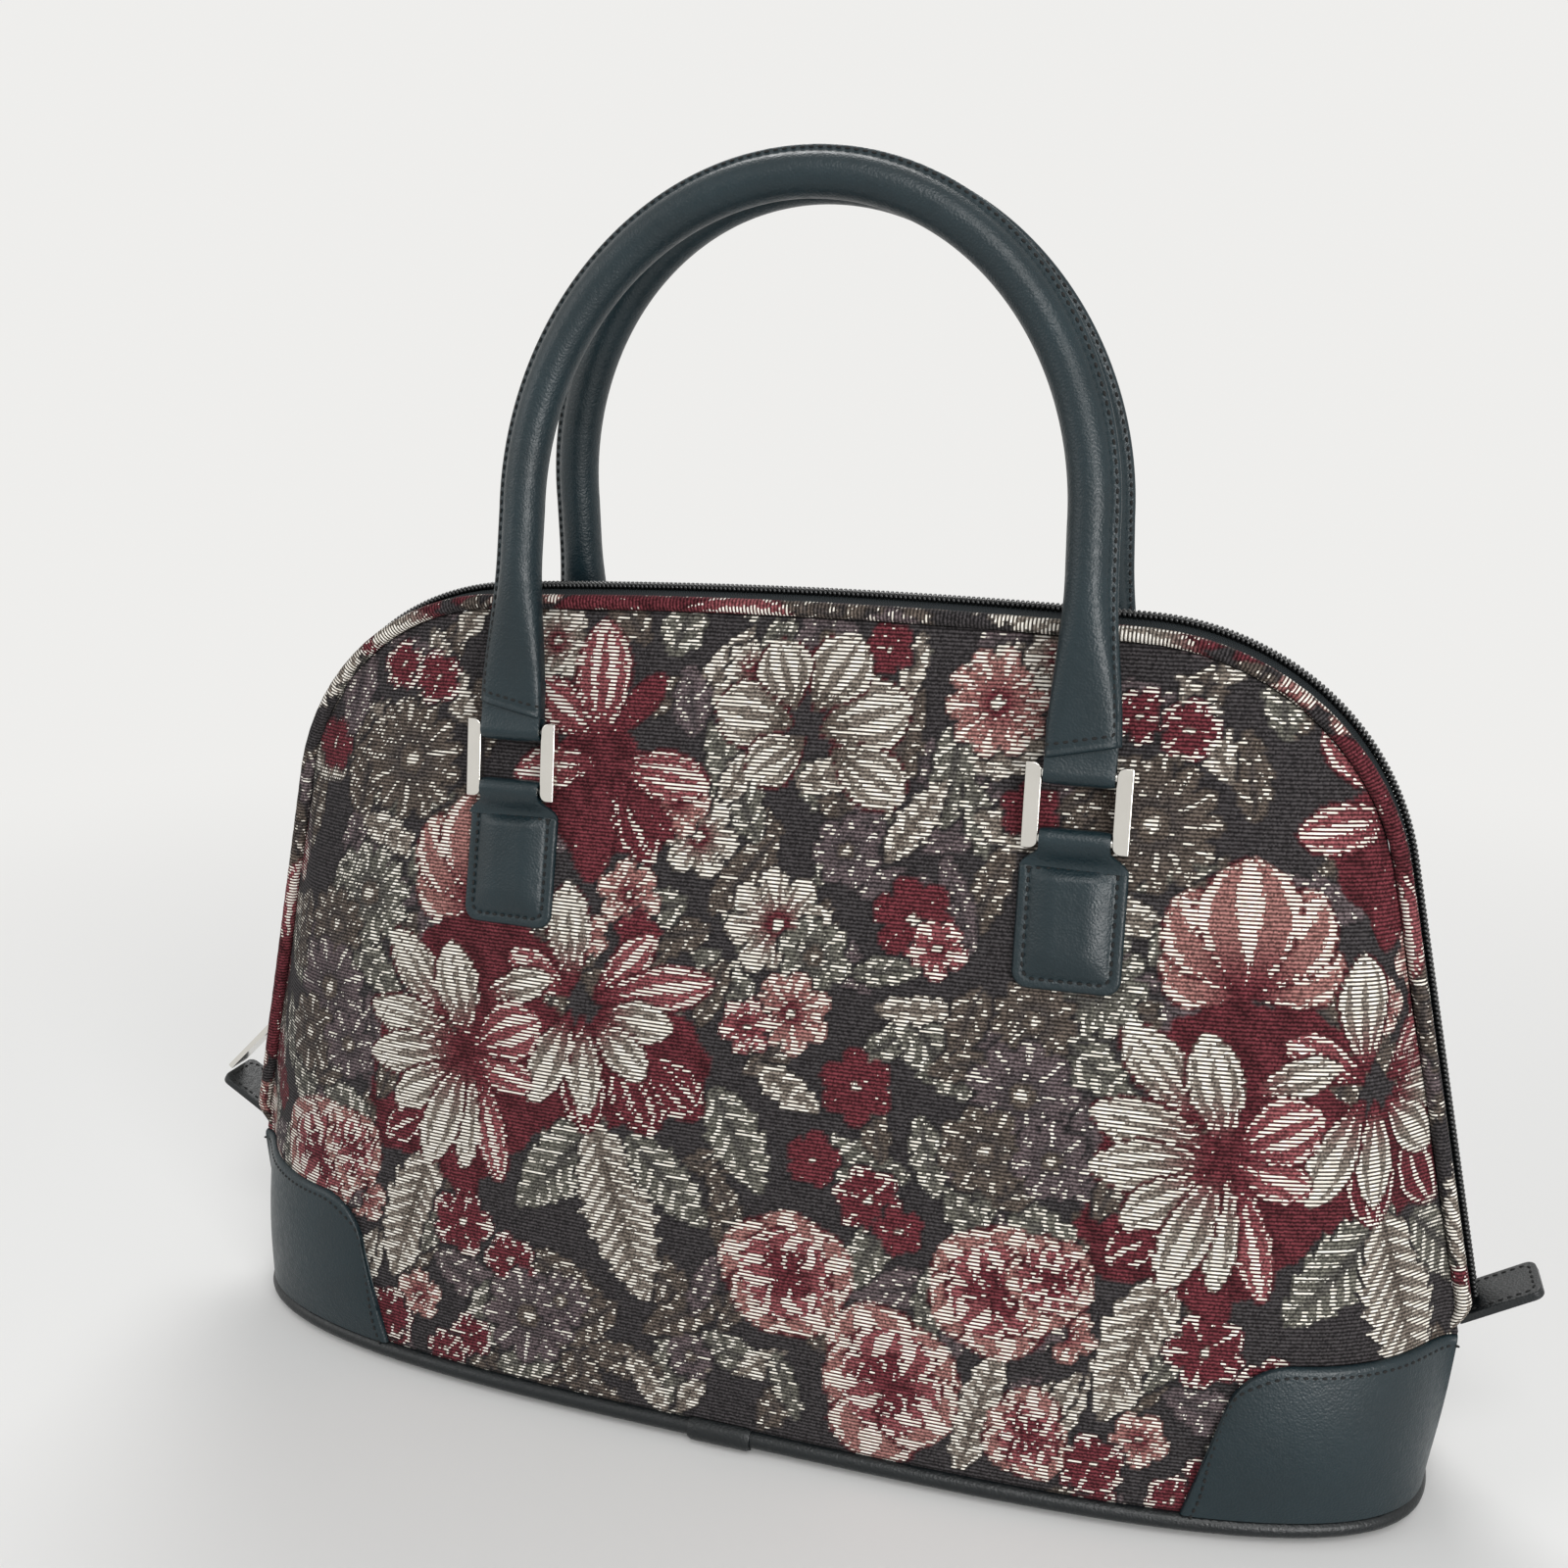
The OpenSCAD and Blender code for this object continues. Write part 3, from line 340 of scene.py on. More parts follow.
def grid_faces(rows, columns, start=0, wrap=False):
    """Corners of the quads between rows of points; wrap joins the end of each row to its start."""
    i = np.arange(rows - 1)[:, None] * columns
    j = np.arange(columns if wrap else columns - 1)[None, :]
    k = (j + 1) % columns
    corners = np.stack(np.broadcast_arrays(i + j, i + k, i + columns + k, i + columns + j), -1)
    return (corners.reshape(-1, 4) + start).tolist()


def new_object(name, data):
    """A new object in the scene."""
    made = bpy.data.objects.new(name, data)
    bpy.context.scene.collection.objects.link(made)
    return made


def make_piece(name, points, faces, material, uv=None, sharp=None):
    """A mesh object from points in millimetres and its faces' corners, with its faces turned outwards."""
    mesh = bpy.data.meshes.new(name)
    mesh.from_pydata((np.reshape(points, (-1, 3)) * mm).tolist(), [], faces)
    work = bmesh.new()
    work.from_mesh(mesh)
    bmesh.ops.recalc_face_normals(work, faces=work.faces)
    work.to_mesh(mesh)
    work.free()
    if uv is not None:
        corner = np.empty(len(mesh.loops), int)
        mesh.loops.foreach_get("vertex_index", corner)
        layer = mesh.uv_layers.new(name="cloth")
        layer.data.foreach_set("uv", (uv * mm)[corner].ravel())
    mesh.shade_smooth()
    if sharp:
        mesh.set_sharp_from_angle(angle=math.radians(sharp))
    mesh.materials.append(material)
    return new_object(name, mesh)


def fit(piece, body, slot, *nodes):
    """Lets a piece ride on a body and stand for nodes, which are hidden; slot is not used."""
    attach(piece, body)
    if nodes:
        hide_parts(*nodes)


def wire(tree, node, inputs):
    """Sets a node's sockets, by name or number, to values or to other nodes' results."""
    for key, value in inputs.items():
        if isinstance(value, bpy.types.NodeSocket):
            tree.links.new(value, node.inputs[key])
        else:
            node.inputs[key].default_value = value


def add(tree, kind, inputs=None, **settings):
    """One node: settings are its properties, and inputs its sockets."""
    made = tree.nodes.new(kind)
    for key, value in settings.items():
        setattr(made, key, value)
    wire(tree, made, inputs or {})
    return made


def calc(tree, operation, *values):
    """The result of one Math node."""
    return add(tree, "ShaderNodeMath", dict(enumerate(values)), operation=operation).outputs[0]


def new_material(name):
    """A material with an empty tree, its shader and the shader's output."""
    material = bpy.data.materials.new(name)
    material.use_nodes = True
    tree = material.node_tree
    tree.nodes.clear()
    shader = add(tree, "ShaderNodeBsdfPrincipled")
    add(tree, "ShaderNodeOutputMaterial", {"Surface": shader.outputs[0]})
    return material, tree, shader


def mixed(tree, share, first, second):
    """A colour between two others, each a socket or a colour code."""
    first, second = ((*tone(c), 1) if isinstance(c, str) else c for c in (first, second))
    return add(tree, "ShaderNodeMix", {0: share, 6: first, 7: second}, data_type="RGBA").outputs[2]


def bumped(tree, height, strength, distance):
    """Normals raised by a height pattern, over a distance in millimetres."""
    inputs = {"Strength": strength, "Distance": distance * mm, "Height": height}
    return add(tree, "ShaderNodeBump", inputs).outputs[0]


def cloth_place(tree):
    """Where a point lies on its cloth, along and across."""
    uv = add(tree, "ShaderNodeUVMap", uv_map="cloth").outputs[0]
    return add(tree, "ShaderNodeSeparateXYZ", {0: uv}).outputs


def ridge(tree, value):
    """A ridge that rises from 0 to 1 and falls again over each unit of a value."""
    return calc(tree, "MULTIPLY", calc(tree, "PINGPONG", value, 0.5), 2.0)


def by_chance(tree, x, y):
    """A chance value from 0 to 1 for each cell of the cloth."""
    corner = {0: calc(tree, "FLOOR", x), 1: calc(tree, "FLOOR", y)}
    cell = add(tree, "ShaderNodeCombineXYZ", corner).outputs[0]
    return add(tree, "ShaderNodeTexWhiteNoise", {0: cell}, noise_dimensions="2D").outputs[0]


rib_pitch, dash_length, dash_shift = 1.15, 1.3, 0.618


def tapestry_material():
    """Ribbed weave: cream threads float over the field colour in dashes, as many as the cream share says."""
    material, tree, shader = new_material("tapestry")
    place = cloth_place(tree)
    ribs = calc(tree, "DIVIDE", place[1], rib_pitch * mm)
    rib = ridge(tree, ribs)
    shift = calc(tree, "MULTIPLY", calc(tree, "FLOOR", ribs), dash_shift)
    run = calc(tree, "ADD", calc(tree, "DIVIDE", place[0], dash_length * mm), shift)
    chance = by_chance(tree, run, ribs)
    speckle = by_chance(tree, calc(tree, "MULTIPLY", run, 2.6), calc(tree, "MULTIPLY", ribs, 2.0))
    field = add(tree, "ShaderNodeAttribute", attribute_name="field").outputs["Color"]
    cream = add(tree, "ShaderNodeAttribute", attribute_name="cream").outputs["Fac"]
    # A dash is shown where chance allows it, over the top of its rib
    floats = calc(tree, "LESS_THAN", chance, calc(tree, "MULTIPLY_ADD", cream, 1.25, -0.12))
    low = calc(tree, "MULTIPLY_ADD", cream, -0.18, 0.56)
    edge = {0: rib, 1: low, 2: calc(tree, "ADD", low, 0.22)}
    thick = add(tree, "ShaderNodeMapRange", edge, interpolation_type="SMOOTHSTEP").outputs[0]
    shown = calc(tree, "MULTIPLY", floats, thick)
    # The field is darker between the ribs, where the dark warp shows and shade is painted into the grooves,
    # and speckled by its threads
    shade = calc(tree, "MULTIPLY_ADD", rib, 1.05, 0.12)
    shade = calc(tree, "MULTIPLY", shade, calc(tree, "MULTIPLY_ADD", speckle, 1.3, 0.45))
    grey = add(tree, "ShaderNodeCombineXYZ", {0: shade, 1: shade, 2: shade}).outputs[0]
    under = add(tree, "ShaderNodeVectorMath", {0: field, 1: grey}, operation="MULTIPLY").outputs[0]
    cream_thread = mixed(tree, chance, "d8d2c6", "f2eee6")
    height = calc(tree, "ADD", rib, calc(tree, "MULTIPLY", shown, 0.8))
    wire(tree, shader, {
        "Base Color": mixed(tree, shown, under, cream_thread), "Normal": bumped(tree, height, 0.6, 0.25),
        "Roughness": 0.85, "Specular IOR Level": 0.08, "Sheen Weight": 0.02, "Sheen Roughness": 0.5,
    })
    return material


tapestry = tapestry_material()


def add_weave(piece, x, z):
    """Gives a cloth piece's points their place in the repeat."""
    colour, cream = weave(x, z)
    field = piece.data.attributes.new("field", "FLOAT_COLOR", "POINT")
    field.data.foreach_set("color", np.column_stack([colour, np.ones(len(x))]).astype(np.float32).ravel())
    share = piece.data.attributes.new("cream", "FLOAT", "POINT")
    share.data.foreach_set("value", cream.astype(np.float32))


panel_columns, panel_rows, lining_rows = 440, 200, 8
wave_rise, pucker_rise, pucker_run, pucker_fade = 0.35, 0.22, 2.6, 22


def cloth_panel(side):
    """The panel's face with its lining, as one closed shell; side is -1 for the front and 1 for the back."""
    u = even_columns(panel_columns)
    u_grid, w_grid = np.meshgrid(u, np.linspace(0, 1, panel_rows + 1), indexing="ij")
    face = panel_point(u_grid, w_grid)
    run, height = cloth_run(u, face), face[..., 2].copy()
    # Slow waves of the foam, and small puckers where the seams pull the cloth
    held = np.clip(8 * w_grid * (1 - w_grid), 0, 1) * np.clip(6 * (1 - np.abs(u_grid)), 0, 1)
    waves = np.sin(run / 41 + 0.6) * np.sin(height / 33) + 0.6 * np.sin(run / 23 - height / 29)
    puckers = np.exp(-(1 - w_grid) * pucker_fade) * np.sin(run / pucker_run) * np.clip(w_grid * 4, 0, 1)
    rise = wave_rise * held * waves + pucker_rise * puckers
    face += panel_normal(u_grid, w_grid) * rise[..., None]
    u_grid, w_grid = np.meshgrid(u, np.linspace(0, 1, lining_rows + 1), indexing="ij")
    backing = panel_point(u_grid, w_grid)
    lining = backing - panel_wall * panel_normal(u_grid, w_grid)
    columns, rows, inner_rows = len(u), panel_rows + 1, lining_rows + 1
    start = columns * rows
    faces = grid_faces(columns, rows) + grid_faces(columns, inner_rows, start)
    for i in range(columns - 1):
        a, b = i * rows, (i + 1) * rows
        c, d = start + i * inner_rows, start + (i + 1) * inner_rows
        faces.append([a, b, d, c])
        faces.append([a + rows - 1, b + rows - 1, d + inner_rows - 1, c + inner_rows - 1])
    share = panel_rows // lining_rows
    for i in (0, columns - 1):
        for j in range(lining_rows):
            outer = [i * rows + j * share + k for k in range(share + 1)]
            faces.append(outer + [start + i * inner_rows + j + 1, start + i * inner_rows + j])
    points = np.concatenate([face.reshape(-1, 3), lining.reshape(-1, 3)]) * np.array([1, -side, 1])
    along = np.concatenate([run.ravel(), cloth_run(u, backing).ravel()])
    up = np.concatenate([height.ravel(), lining[..., 2].ravel()])
    return points, faces, np.column_stack([along, up])


for name, side, slide in (("front_panel", -1, 0), ("back_panel", 1, 95)):
    points, faces, cloth = cloth_panel(side)
    panel = make_piece(f"tapestry_{name}", points, faces, tapestry, uv=cloth)
    add_weave(panel, cloth[:, 0] + slide, cloth[:, 1])
    fit(panel, "bag", "tapestry", name)

# Piping
# A cord covered with a strip of the same tapestry, sewn in between each panel and its zip tape.
# The strip is cut so that the ribs of the weave run round the cord.
# Its ends taper and tuck in behind the top edges of the end caps.
piping_sides, piping_step, strip_start, strip_length = 14, 1.5, 10, 250
piping_tail, piping_tuck, piping_tuck_side, piping_tuck_length = 4, 6.5, 2, 14
piping_taper, lump_share, lump_turn = 0.4, 0.015, 0.9


def turns(count):
    """Angles spread evenly round a circle."""
    return np.arange(count) * 2 * math.pi / count


def tube_faces(rows, columns):
    """Corners of the faces of a tube of rings of points, closed at both ends."""
    ends = [list(range(columns)), list(range((rows - 1) * columns, rows * columns))]
    return grid_faces(rows, columns, wrap=True) + ends


for name, side, strip in (("front_piping", -1, -70), ("back_piping", 1, 40)):
    reach = dome_length + piping_tail
    s = np.linspace(-reach, reach, int(2 * reach / piping_step))
    s_grid, turn = np.meshgrid(s, turns(piping_sides), indexing="ij")
    tuck = eased(1 - (reach - np.abs(s_grid)) / piping_tuck_length)
    bulge = piping_r * (1 + lump_share * np.sin(s_grid * lump_turn)) * (1 - piping_taper * tuck)
    out = -zip_crest - piping_tuck * tuck + bulge * np.cos(turn)
    depth = -piping_offset + piping_tuck_side * tuck + bulge * np.sin(turn)
    points = across_dome(s_grid, out, depth) * np.array([1, -side, 1])
    cloth = np.column_stack([(turn * piping_r).ravel(), s_grid.ravel()])
    piping = make_piece(f"tapestry_{name}", points, tube_faces(len(s), piping_sides), tapestry, uv=cloth)
    add_weave(piping, strip + cloth[:, 0], strip_start + np.mod(cloth[:, 1], strip_length))
    fit(piping, "bag", "piping", name)

# Zip tapes
# Woven tapes, sewn along the pipings, that meet under the coil at the ridge of the dome.
# Their threads run in a close herringbone.
coil_width, coil_height, tape_wall, zip_end_gap = 6, 2, 0.9, 5
tape_level, tape_flat, tape_bend, tape_columns, tape_rows = 1.1 * coil_height, 0.3, 1.15, 360, 10
herringbone_width, herringbone_pitch = 1.6, 0.8
chain_end = dome_length - zip_end_gap


def tape_material():
    """Dark herringbone tape: slanted threads that turn at every other rib."""
    material, tree, shader = new_material("zip_tape")
    place = cloth_place(tree)
    zigzag = calc(tree, "PINGPONG", calc(tree, "DIVIDE", place[1], herringbone_width * mm), 1.0)
    slant = calc(tree, "ADD", calc(tree, "DIVIDE", place[0], herringbone_pitch * mm), zigzag)
    yarn = ridge(tree, slant)
    wire(tree, shader, {
        "Base Color": mixed(tree, yarn, "0a0c0d", "272d30"), "Normal": bumped(tree, yarn, 0.7, 0.2),
        "Roughness": 0.8, "Specular IOR Level": 0.15,
    })
    return material


tape_cloth = tape_material()
for name, side in (("front_zip_tape", -1), ("back_zip_tape", 1)):
    s, t = np.linspace(-chain_end, chain_end, tape_columns), np.linspace(0, 1, tape_rows)
    s_grid, t_grid = np.meshgrid(s, t, indexing="ij")
    fall = np.clip((t_grid - tape_flat) / (1 - tape_flat), 0, 1) ** tape_bend
    out = -tape_level - (zip_crest - tape_level) * fall
    depth = t_grid * (piping_r - piping_offset)
    top, under = (across_dome(s_grid, out - drop, depth) for drop in (0, tape_wall))
    points = np.concatenate([top, under[:, ::-1]], axis=1) * np.array([1, -side, 1])
    across = np.concatenate([t, t[::-1]]) * piping_offset
    cloth = np.stack(np.meshgrid(s, across, indexing="ij"), -1).reshape(-1, 2)
    faces = tube_faces(tape_columns, 2 * tape_rows)
    tape = make_piece(f"woven_{name}", points, faces, tape_cloth, uv=cloth, sharp=50)
    fit(tape, "bag", "zip_tape", name)

# Zip coil
# Two nylon coils, sewn to the tapes, that mesh along the ridge of the dome.
# Each turn shows as a bead of the closed chain.
coil_pitch, coil_steps = 1.5, 420
coil_side, coil_level = 0.28 * coil_width, -0.6 * coil_height
coil_turn = (1.6, 0.56 * coil_width, 1.25 * coil_height)


def row_tree():
    """Sets small rounded items along paths, lying along the path and standing out of the surface."""
    tree = bpy.data.node_groups.new("row_of_items", "GeometryNodeTree")
    sizes = ("Pitch", "Length", "Width", "Height")
    for name, kind in (("Paths", "Geometry"), *((size, "Float") for size in sizes), ("Finish", "Material")):
        tree.interface.new_socket(name, in_out="INPUT", socket_type=f"NodeSocket{kind}")
    tree.interface.new_socket("Items", in_out="OUTPUT", socket_type="NodeSocketGeometry")
    given = add(tree, "NodeGroupInput").outputs
    path = add(tree, "GeometryNodeMeshToCurve", {"Mesh": given["Paths"]}).outputs[0]
    spacing = {"Curve": path, "Length": given["Pitch"]}
    even = add(tree, "GeometryNodeResampleCurve", spacing, mode="LENGTH").outputs[0]
    size = add(tree, "ShaderNodeCombineXYZ", {i: given[sizes[i + 1]] for i in range(3)}).outputs[0]
    ball = add(tree, "GeometryNodeMeshUVSphere", {"Segments": 8, "Rings": 5, "Radius": 0.5}).outputs[0]
    item = add(tree, "GeometryNodeTransform", {"Geometry": ball, "Scale": size}).outputs[0]
    out = add(tree, "GeometryNodeInputNamedAttribute", {"Name": "out"}, data_type="FLOAT_VECTOR").outputs[0]
    axes = {0: out, 1: add(tree, "GeometryNodeInputTangent").outputs[0]}
    turn = add(tree, "FunctionNodeAxesToRotation", axes, primary_axis="Z", secondary_axis="X").outputs[0]
    placing = {"Points": even, "Instance": item, "Rotation": turn}
    placed = add(tree, "GeometryNodeInstanceOnPoints", placing).outputs[0]
    real = add(tree, "GeometryNodeRealizeInstances", {0: placed}).outputs[0]
    smooth = add(tree, "GeometryNodeSetShadeSmooth", {0: real}).outputs[0]
    done = add(tree, "GeometryNodeSetMaterial", {"Geometry": smooth, "Material": given["Finish"]}).outputs[0]
    add(tree, "NodeGroupOutput", {0: done})
    return tree


items_in_row = row_tree()


def row_of_items(name, paths, pitch, size, material):
    """A mesh of small items along paths, each given as points and outward directions in millimetres."""
    points = np.concatenate([path for path, out in paths])
    outs = np.concatenate([np.broadcast_to(out, path.shape) for path, out in paths])
    edges, start = [], 0
    for path, out in paths:
        edges += [(start + i, start + i + 1) for i in range(len(path) - 1)]
        start += len(path)
    mesh = bpy.data.meshes.new(name)
    mesh.from_pydata((points * mm).tolist(), edges, [])
    directions = mesh.attributes.new("out", "FLOAT_VECTOR", "POINT")
    directions.data.foreach_set("vector", outs.astype(np.float32).ravel())
    guide = new_object(f"{name}_guide", mesh)
    modifier = guide.modifiers.new("row", "NODES")
    modifier.node_group = items_in_row
    length, width, height = (side * mm for side in size)
    values = {"Pitch": pitch * mm, "Length": length, "Width": width, "Height": height, "Finish": material}
    for item in items_in_row.interface.items_tree:
        if item.in_out == "INPUT" and item.name in values:
            modifier[item.identifier] = values[item.name]
    depsgraph = bpy.context.evaluated_depsgraph_get()
    made = bpy.data.meshes.new_from_object(guide.evaluated_get(depsgraph), depsgraph=depsgraph)
    guide.modifiers.remove(modifier)
    bpy.data.objects.remove(guide)
    made.name = name
    return new_object(name, made)


def mottle(tree, scale, detail):
    """An uneven pattern over a piece."""
    place = add(tree, "ShaderNodeTexCoord").outputs["Object"]
    return add(tree, "ShaderNodeTexNoise", {"Vector": place, "Scale": scale, "Detail": detail}).outputs[0]


def spread(tree, value, low, high):
    """The middle of a pattern's range, stretched between two values."""
    return add(tree, "ShaderNodeMapRange", {0: value, 1: 0.3, 2: 0.7, 3: low, 4: high}).outputs[0]


def plain_finish(name, dark, light, grain, roughness, metallic=0.0):
    """A finish that varies a little in tone and smoothness over the piece."""
    material, tree, shader = new_material(name)
    pattern = mottle(tree, grain, 4.0)
    wire(tree, shader, {
        "Base Color": mixed(tree, pattern, dark, light), "Roughness": spread(tree, pattern, *roughness),
        "Metallic": metallic,
    })
    return material


coil_nylon = plain_finish("coil_nylon", "070808", "121415", 900.0, (0.22, 0.34))
coil_paths = []
for side in (-1, 1):
    s = np.linspace(-chain_end, chain_end, coil_steps) + side * coil_pitch / 4
    x, z, angle = dome(s)
    outward = np.stack([np.sin(angle), 0 * angle, np.cos(angle)], -1)
    coil_paths.append((across_dome(s, coil_level, side * coil_side), outward))
coil = row_of_items("zip_coil", coil_paths, coil_pitch, coil_turn, coil_nylon)
fit(coil, "bag", "zip_coil", "zip_chain")

# Leather end caps
# Smooth dark leather over the lower corners, each cut in one piece and wrapped round its end.
# The edge is turned under, and stitched to the panels along the top and the inner ends.
cap_wall, cap_gap, cap_height, cap_corner_height = 1.6, 0.4, 58, 40
cap_start_low, cap_start_high, cap_corner_share = 0.364, 0.415, 0.165
cap_columns, cap_rows, cap_strip, crowd_along, crowd_up = 80, 36, 16, 1.35, 1.3
edge_round, edge_share, cap_swell, cap_bow = 1.6, 0.25, 2.2, 1.6
stitch_inset, stitch_pitch, stitch_size = 3.0, 2.7, (1.75, 0.95, 0.6)
upright_from, upright_steps, top_to, top_steps = 0.03, 60, 0.985, 160


def leather_material(name, dark, light):
    """Smooth grained leather: pebbles half a millimetre across, and broad soft changes of tone."""
    material, tree, shader = new_material(name)
    place = add(tree, "ShaderNodeTexCoord").outputs["Object"]
    pebbles = {"Vector": place, "Scale": 1500.0}
    pebble = add(tree, "ShaderNodeTexVoronoi", pebbles, feature="SMOOTH_F1").outputs[0]
    crease = mottle(tree, 420.0, 5.0)
    wire(tree, shader, {
        "Base Color": mixed(tree, mottle(tree, 38.0, 3.0), dark, light),
        "Normal": bumped(tree, calc(tree, "ADD", pebble, crease), 0.55, 0.22),
        "Roughness": spread(tree, crease, 0.34, 0.46), "Specular IOR Level": 0.4,
    })
    return material


leather = leather_material("leather", "0a171b", "12252b")
trim_leather = leather_material("trim_leather", "070b0d", "0c1214")
thread = plain_finish("leather_thread", "010202", "040505", 1500.0, (0.8, 0.95))


def sew(name, paths, body):
    """Stitches along paths on a piece of leather."""
    fit(row_of_items(name, paths, stitch_pitch, stitch_size, thread), body, "leather")


def cap_top(f):
    """Height of the cap's edge at a share f of the way from its inner end."""
    t = 1 - np.minimum(f / cap_corner_share, 1)
    return cap_corner_height + (cap_height - cap_corner_height) * np.sqrt(1 - t * t)


def cap_face(f, v, out):
    """Points of the right cap's front, at shares f along and v up it, set out from the panel and swelled."""
    low, high = (start + (1 - start) * f for start in (cap_start_low, cap_start_high))
    u = low + (high - low) * v
    top = panel_point(high, np.ones_like(high))[..., 2]
    w = v * (cap_top(f) - panel_foot_z) / (top - panel_foot_z)
    swell = cap_swell * np.sin(math.pi * v) * np.sin(math.pi * np.sqrt(f))
    return panel_point(u, w) + panel_normal(u, w) * (out + swell)[..., None]


def round_the_end(front, v):
    """Carries a grid of points of the front round the end, which bows out a little, and along the back."""
    back = front[::-1] * np.array([1, -1, 1])
    share = np.linspace(0, 1, cap_strip + 2)[1:-1, None, None]
    end = front[-1] + (back[0] - front[-1]) * share
    end[..., 0] += cap_bow * 4 * share[..., 0] * (1 - share[..., 0]) * (1 - v ** 3)
    return np.concatenate([front, end, back])


def shell_faces(rows, columns):
    """Corners of the faces of two like grids of points, one after the other, joined round their rims."""
    start = rows * columns
    grid = np.arange(start).reshape(rows, columns)
    rim = np.concatenate([grid[0], grid[1:, -1], grid[-1, -2::-1], grid[-2:0:-1, 0]])
    following = np.roll(rim, -1)
    walls = np.column_stack([rim, following, start + following, start + rim]).tolist()
    return grid_faces(rows, columns) + grid_faces(rows, columns, start) + walls


def cap_shell():
    """The right cap's outer and inner faces, as one closed shell."""
    f = np.linspace(0, 1, cap_columns) ** crowd_along
    v = 1 - (1 - np.linspace(0, 1, cap_rows)) ** crowd_up
    f_grid, v_grid = np.meshgrid(f, v, indexing="ij")
    face = cap_face(f_grid, v_grid, cap_gap)
    # The leather is thinner where its edge is turned under
    from_top, from_start = (np.linalg.norm(face - edge, axis=-1) for edge in (face[:, -1:], face[:1]))
    inset = np.clip(np.minimum(from_top, from_start) / edge_round, 0, 1)
    rise = cap_gap + cap_wall * (edge_share + (1 - edge_share) * np.sqrt(1 - (1 - inset) ** 2))
    outer, inner = (round_the_end(grid, v) for grid in (cap_face(f_grid, v_grid, rise), face))
    return np.concatenate([outer, inner]), shell_faces(len(outer), cap_rows)


def cap_stitches(side, f_step=0.02, v_step=0.05):
    """Paths of the stitches along the cap's edge, at the front and the back."""
    start_edge = np.column_stack([np.zeros(upright_steps), np.linspace(upright_from, 1, upright_steps)])
    top_edge = np.column_stack([np.linspace(0, top_to, top_steps), np.ones(top_steps)])
    f, v = np.concatenate([start_edge, top_edge[1:]]).T
    along = cap_face(f, v, cap_gap + cap_wall)
    inner = cap_face(np.minimum(f + f_step, 1), np.maximum(v - v_step, 0), cap_gap + cap_wall)
    inward = unit(inner - along)
    path = along + inward * stitch_inset
    out = unit(np.cross(np.gradient(path, axis=0), inward))
    out *= np.where(out[:, 1:2] > 0, -1, 1)
    return [(path * flip, out * flip) for flip in (np.array([side, depth, 1]) for depth in (1, -1))]


cap_points, cap_faces = cap_shell()
for name, side in (("right_end_cap", 1), ("left_end_cap", -1)):
    cap = make_piece(f"leather_{name}", cap_points * np.array([side, 1, 1]), cap_faces, leather, sharp=60)
    fit(cap, "bag", "leather", name)
    sew(f"{name}_stitches", cap_stitches(side), "bag")

# Base
# A leather bottom on a stiff board, edged with leather-covered piping.
# A short strip of leather is lapped over the join in the piping, at the front.
base_piping_z = foot_drop + base_piping_r
base_piping_sides, base_piping_steps = 16, 420
lap_length, lap_x, lap_wall, lap_edge = 21, -9, 1.1, 0.55
lap_from, lap_to, lap_sides, lap_steps = 100, 260, 24, 16


def plan_line(angle):
    """Points of the base's outline at given angles."""
    c, s = np.cos(angle), np.sin(angle)
    power = 2 / base_squareness
    x = np.sign(c) * plan_length * np.abs(c) ** power
    y = np.sign(s) * plan_depth * np.abs(s) ** power
    return np.column_stack([x, y])


def even_plan(count, samples=8001):
    """Points of the base's outline at even distances."""
    line = plan_line(np.linspace(0, 2 * math.pi, samples))
    run = run_along(line)
    at = np.linspace(0, run[-1], count, endpoint=False)
    return np.column_stack([np.interp(at, run, line[:, i]) for i in (0, 1)])


outline = even_plan(base_piping_steps)
heading = unit(np.roll(outline, -1, axis=0) - np.roll(outline, 1, axis=0))
away = heading[:, ::-1] * np.array([1, -1])
turn = turns(base_piping_sides)
tube = np.empty((base_piping_steps, base_piping_sides, 3))
tube[..., :2] = outline[:, None] + away[:, None] * (base_piping_r * np.cos(turn))[:, None]
tube[..., 2] = base_piping_z + base_piping_r * np.sin(turn)
faces = np.array(grid_faces(base_piping_steps + 1, base_piping_sides, wrap=True))
faces %= base_piping_steps * base_piping_sides
base_piping = make_piece("leather_base_piping", tube, faces.tolist(), trim_leather)
fit(base_piping, "bag", "leather", "base_piping")

# The lap is a thin strip wrapped round the front of the piping
lap_turn = np.radians(np.linspace(lap_from, lap_to, lap_sides))
lap_r = base_piping_r + seam
angle = np.concatenate([lap_turn, lap_turn[::-1]])
lap_rings = []
for x in lap_x + np.linspace(-0.5, 0.5, lap_steps) * lap_length:
    from_end = lap_length / 2 - abs(x - lap_x)
    radius = np.repeat([lap_r + lap_wall * min(1, lap_edge + from_end), lap_r], len(lap_turn))
    middle_y = -plan_depth * (1 - abs(x / plan_length) ** base_squareness) ** (1 / base_squareness)
    y, z = middle_y + radius * np.cos(angle), base_piping_z + radius * np.sin(angle)
    lap_rings.append(np.column_stack([np.full(len(angle), x), y, z]))
lap_faces = tube_faces(len(lap_rings), len(angle))
lap = make_piece("leather_base_lap", lap_rings, lap_faces, trim_leather, sharp=50)
fit(lap, "bag", "leather", "base_piping_lap")


def dress(material, *names):
    """Gives nodes whose shape stays their finish."""
    for name in names:
        frame["nodes"][name].data.materials.clear()
        frame["nodes"][name].data.materials.append(material)


board_card = plain_finish("board_card", "6d675e", "8b8478", 260.0, (0.7, 0.9))
dress(leather, "base_panel")
dress(board_card, "base_board")

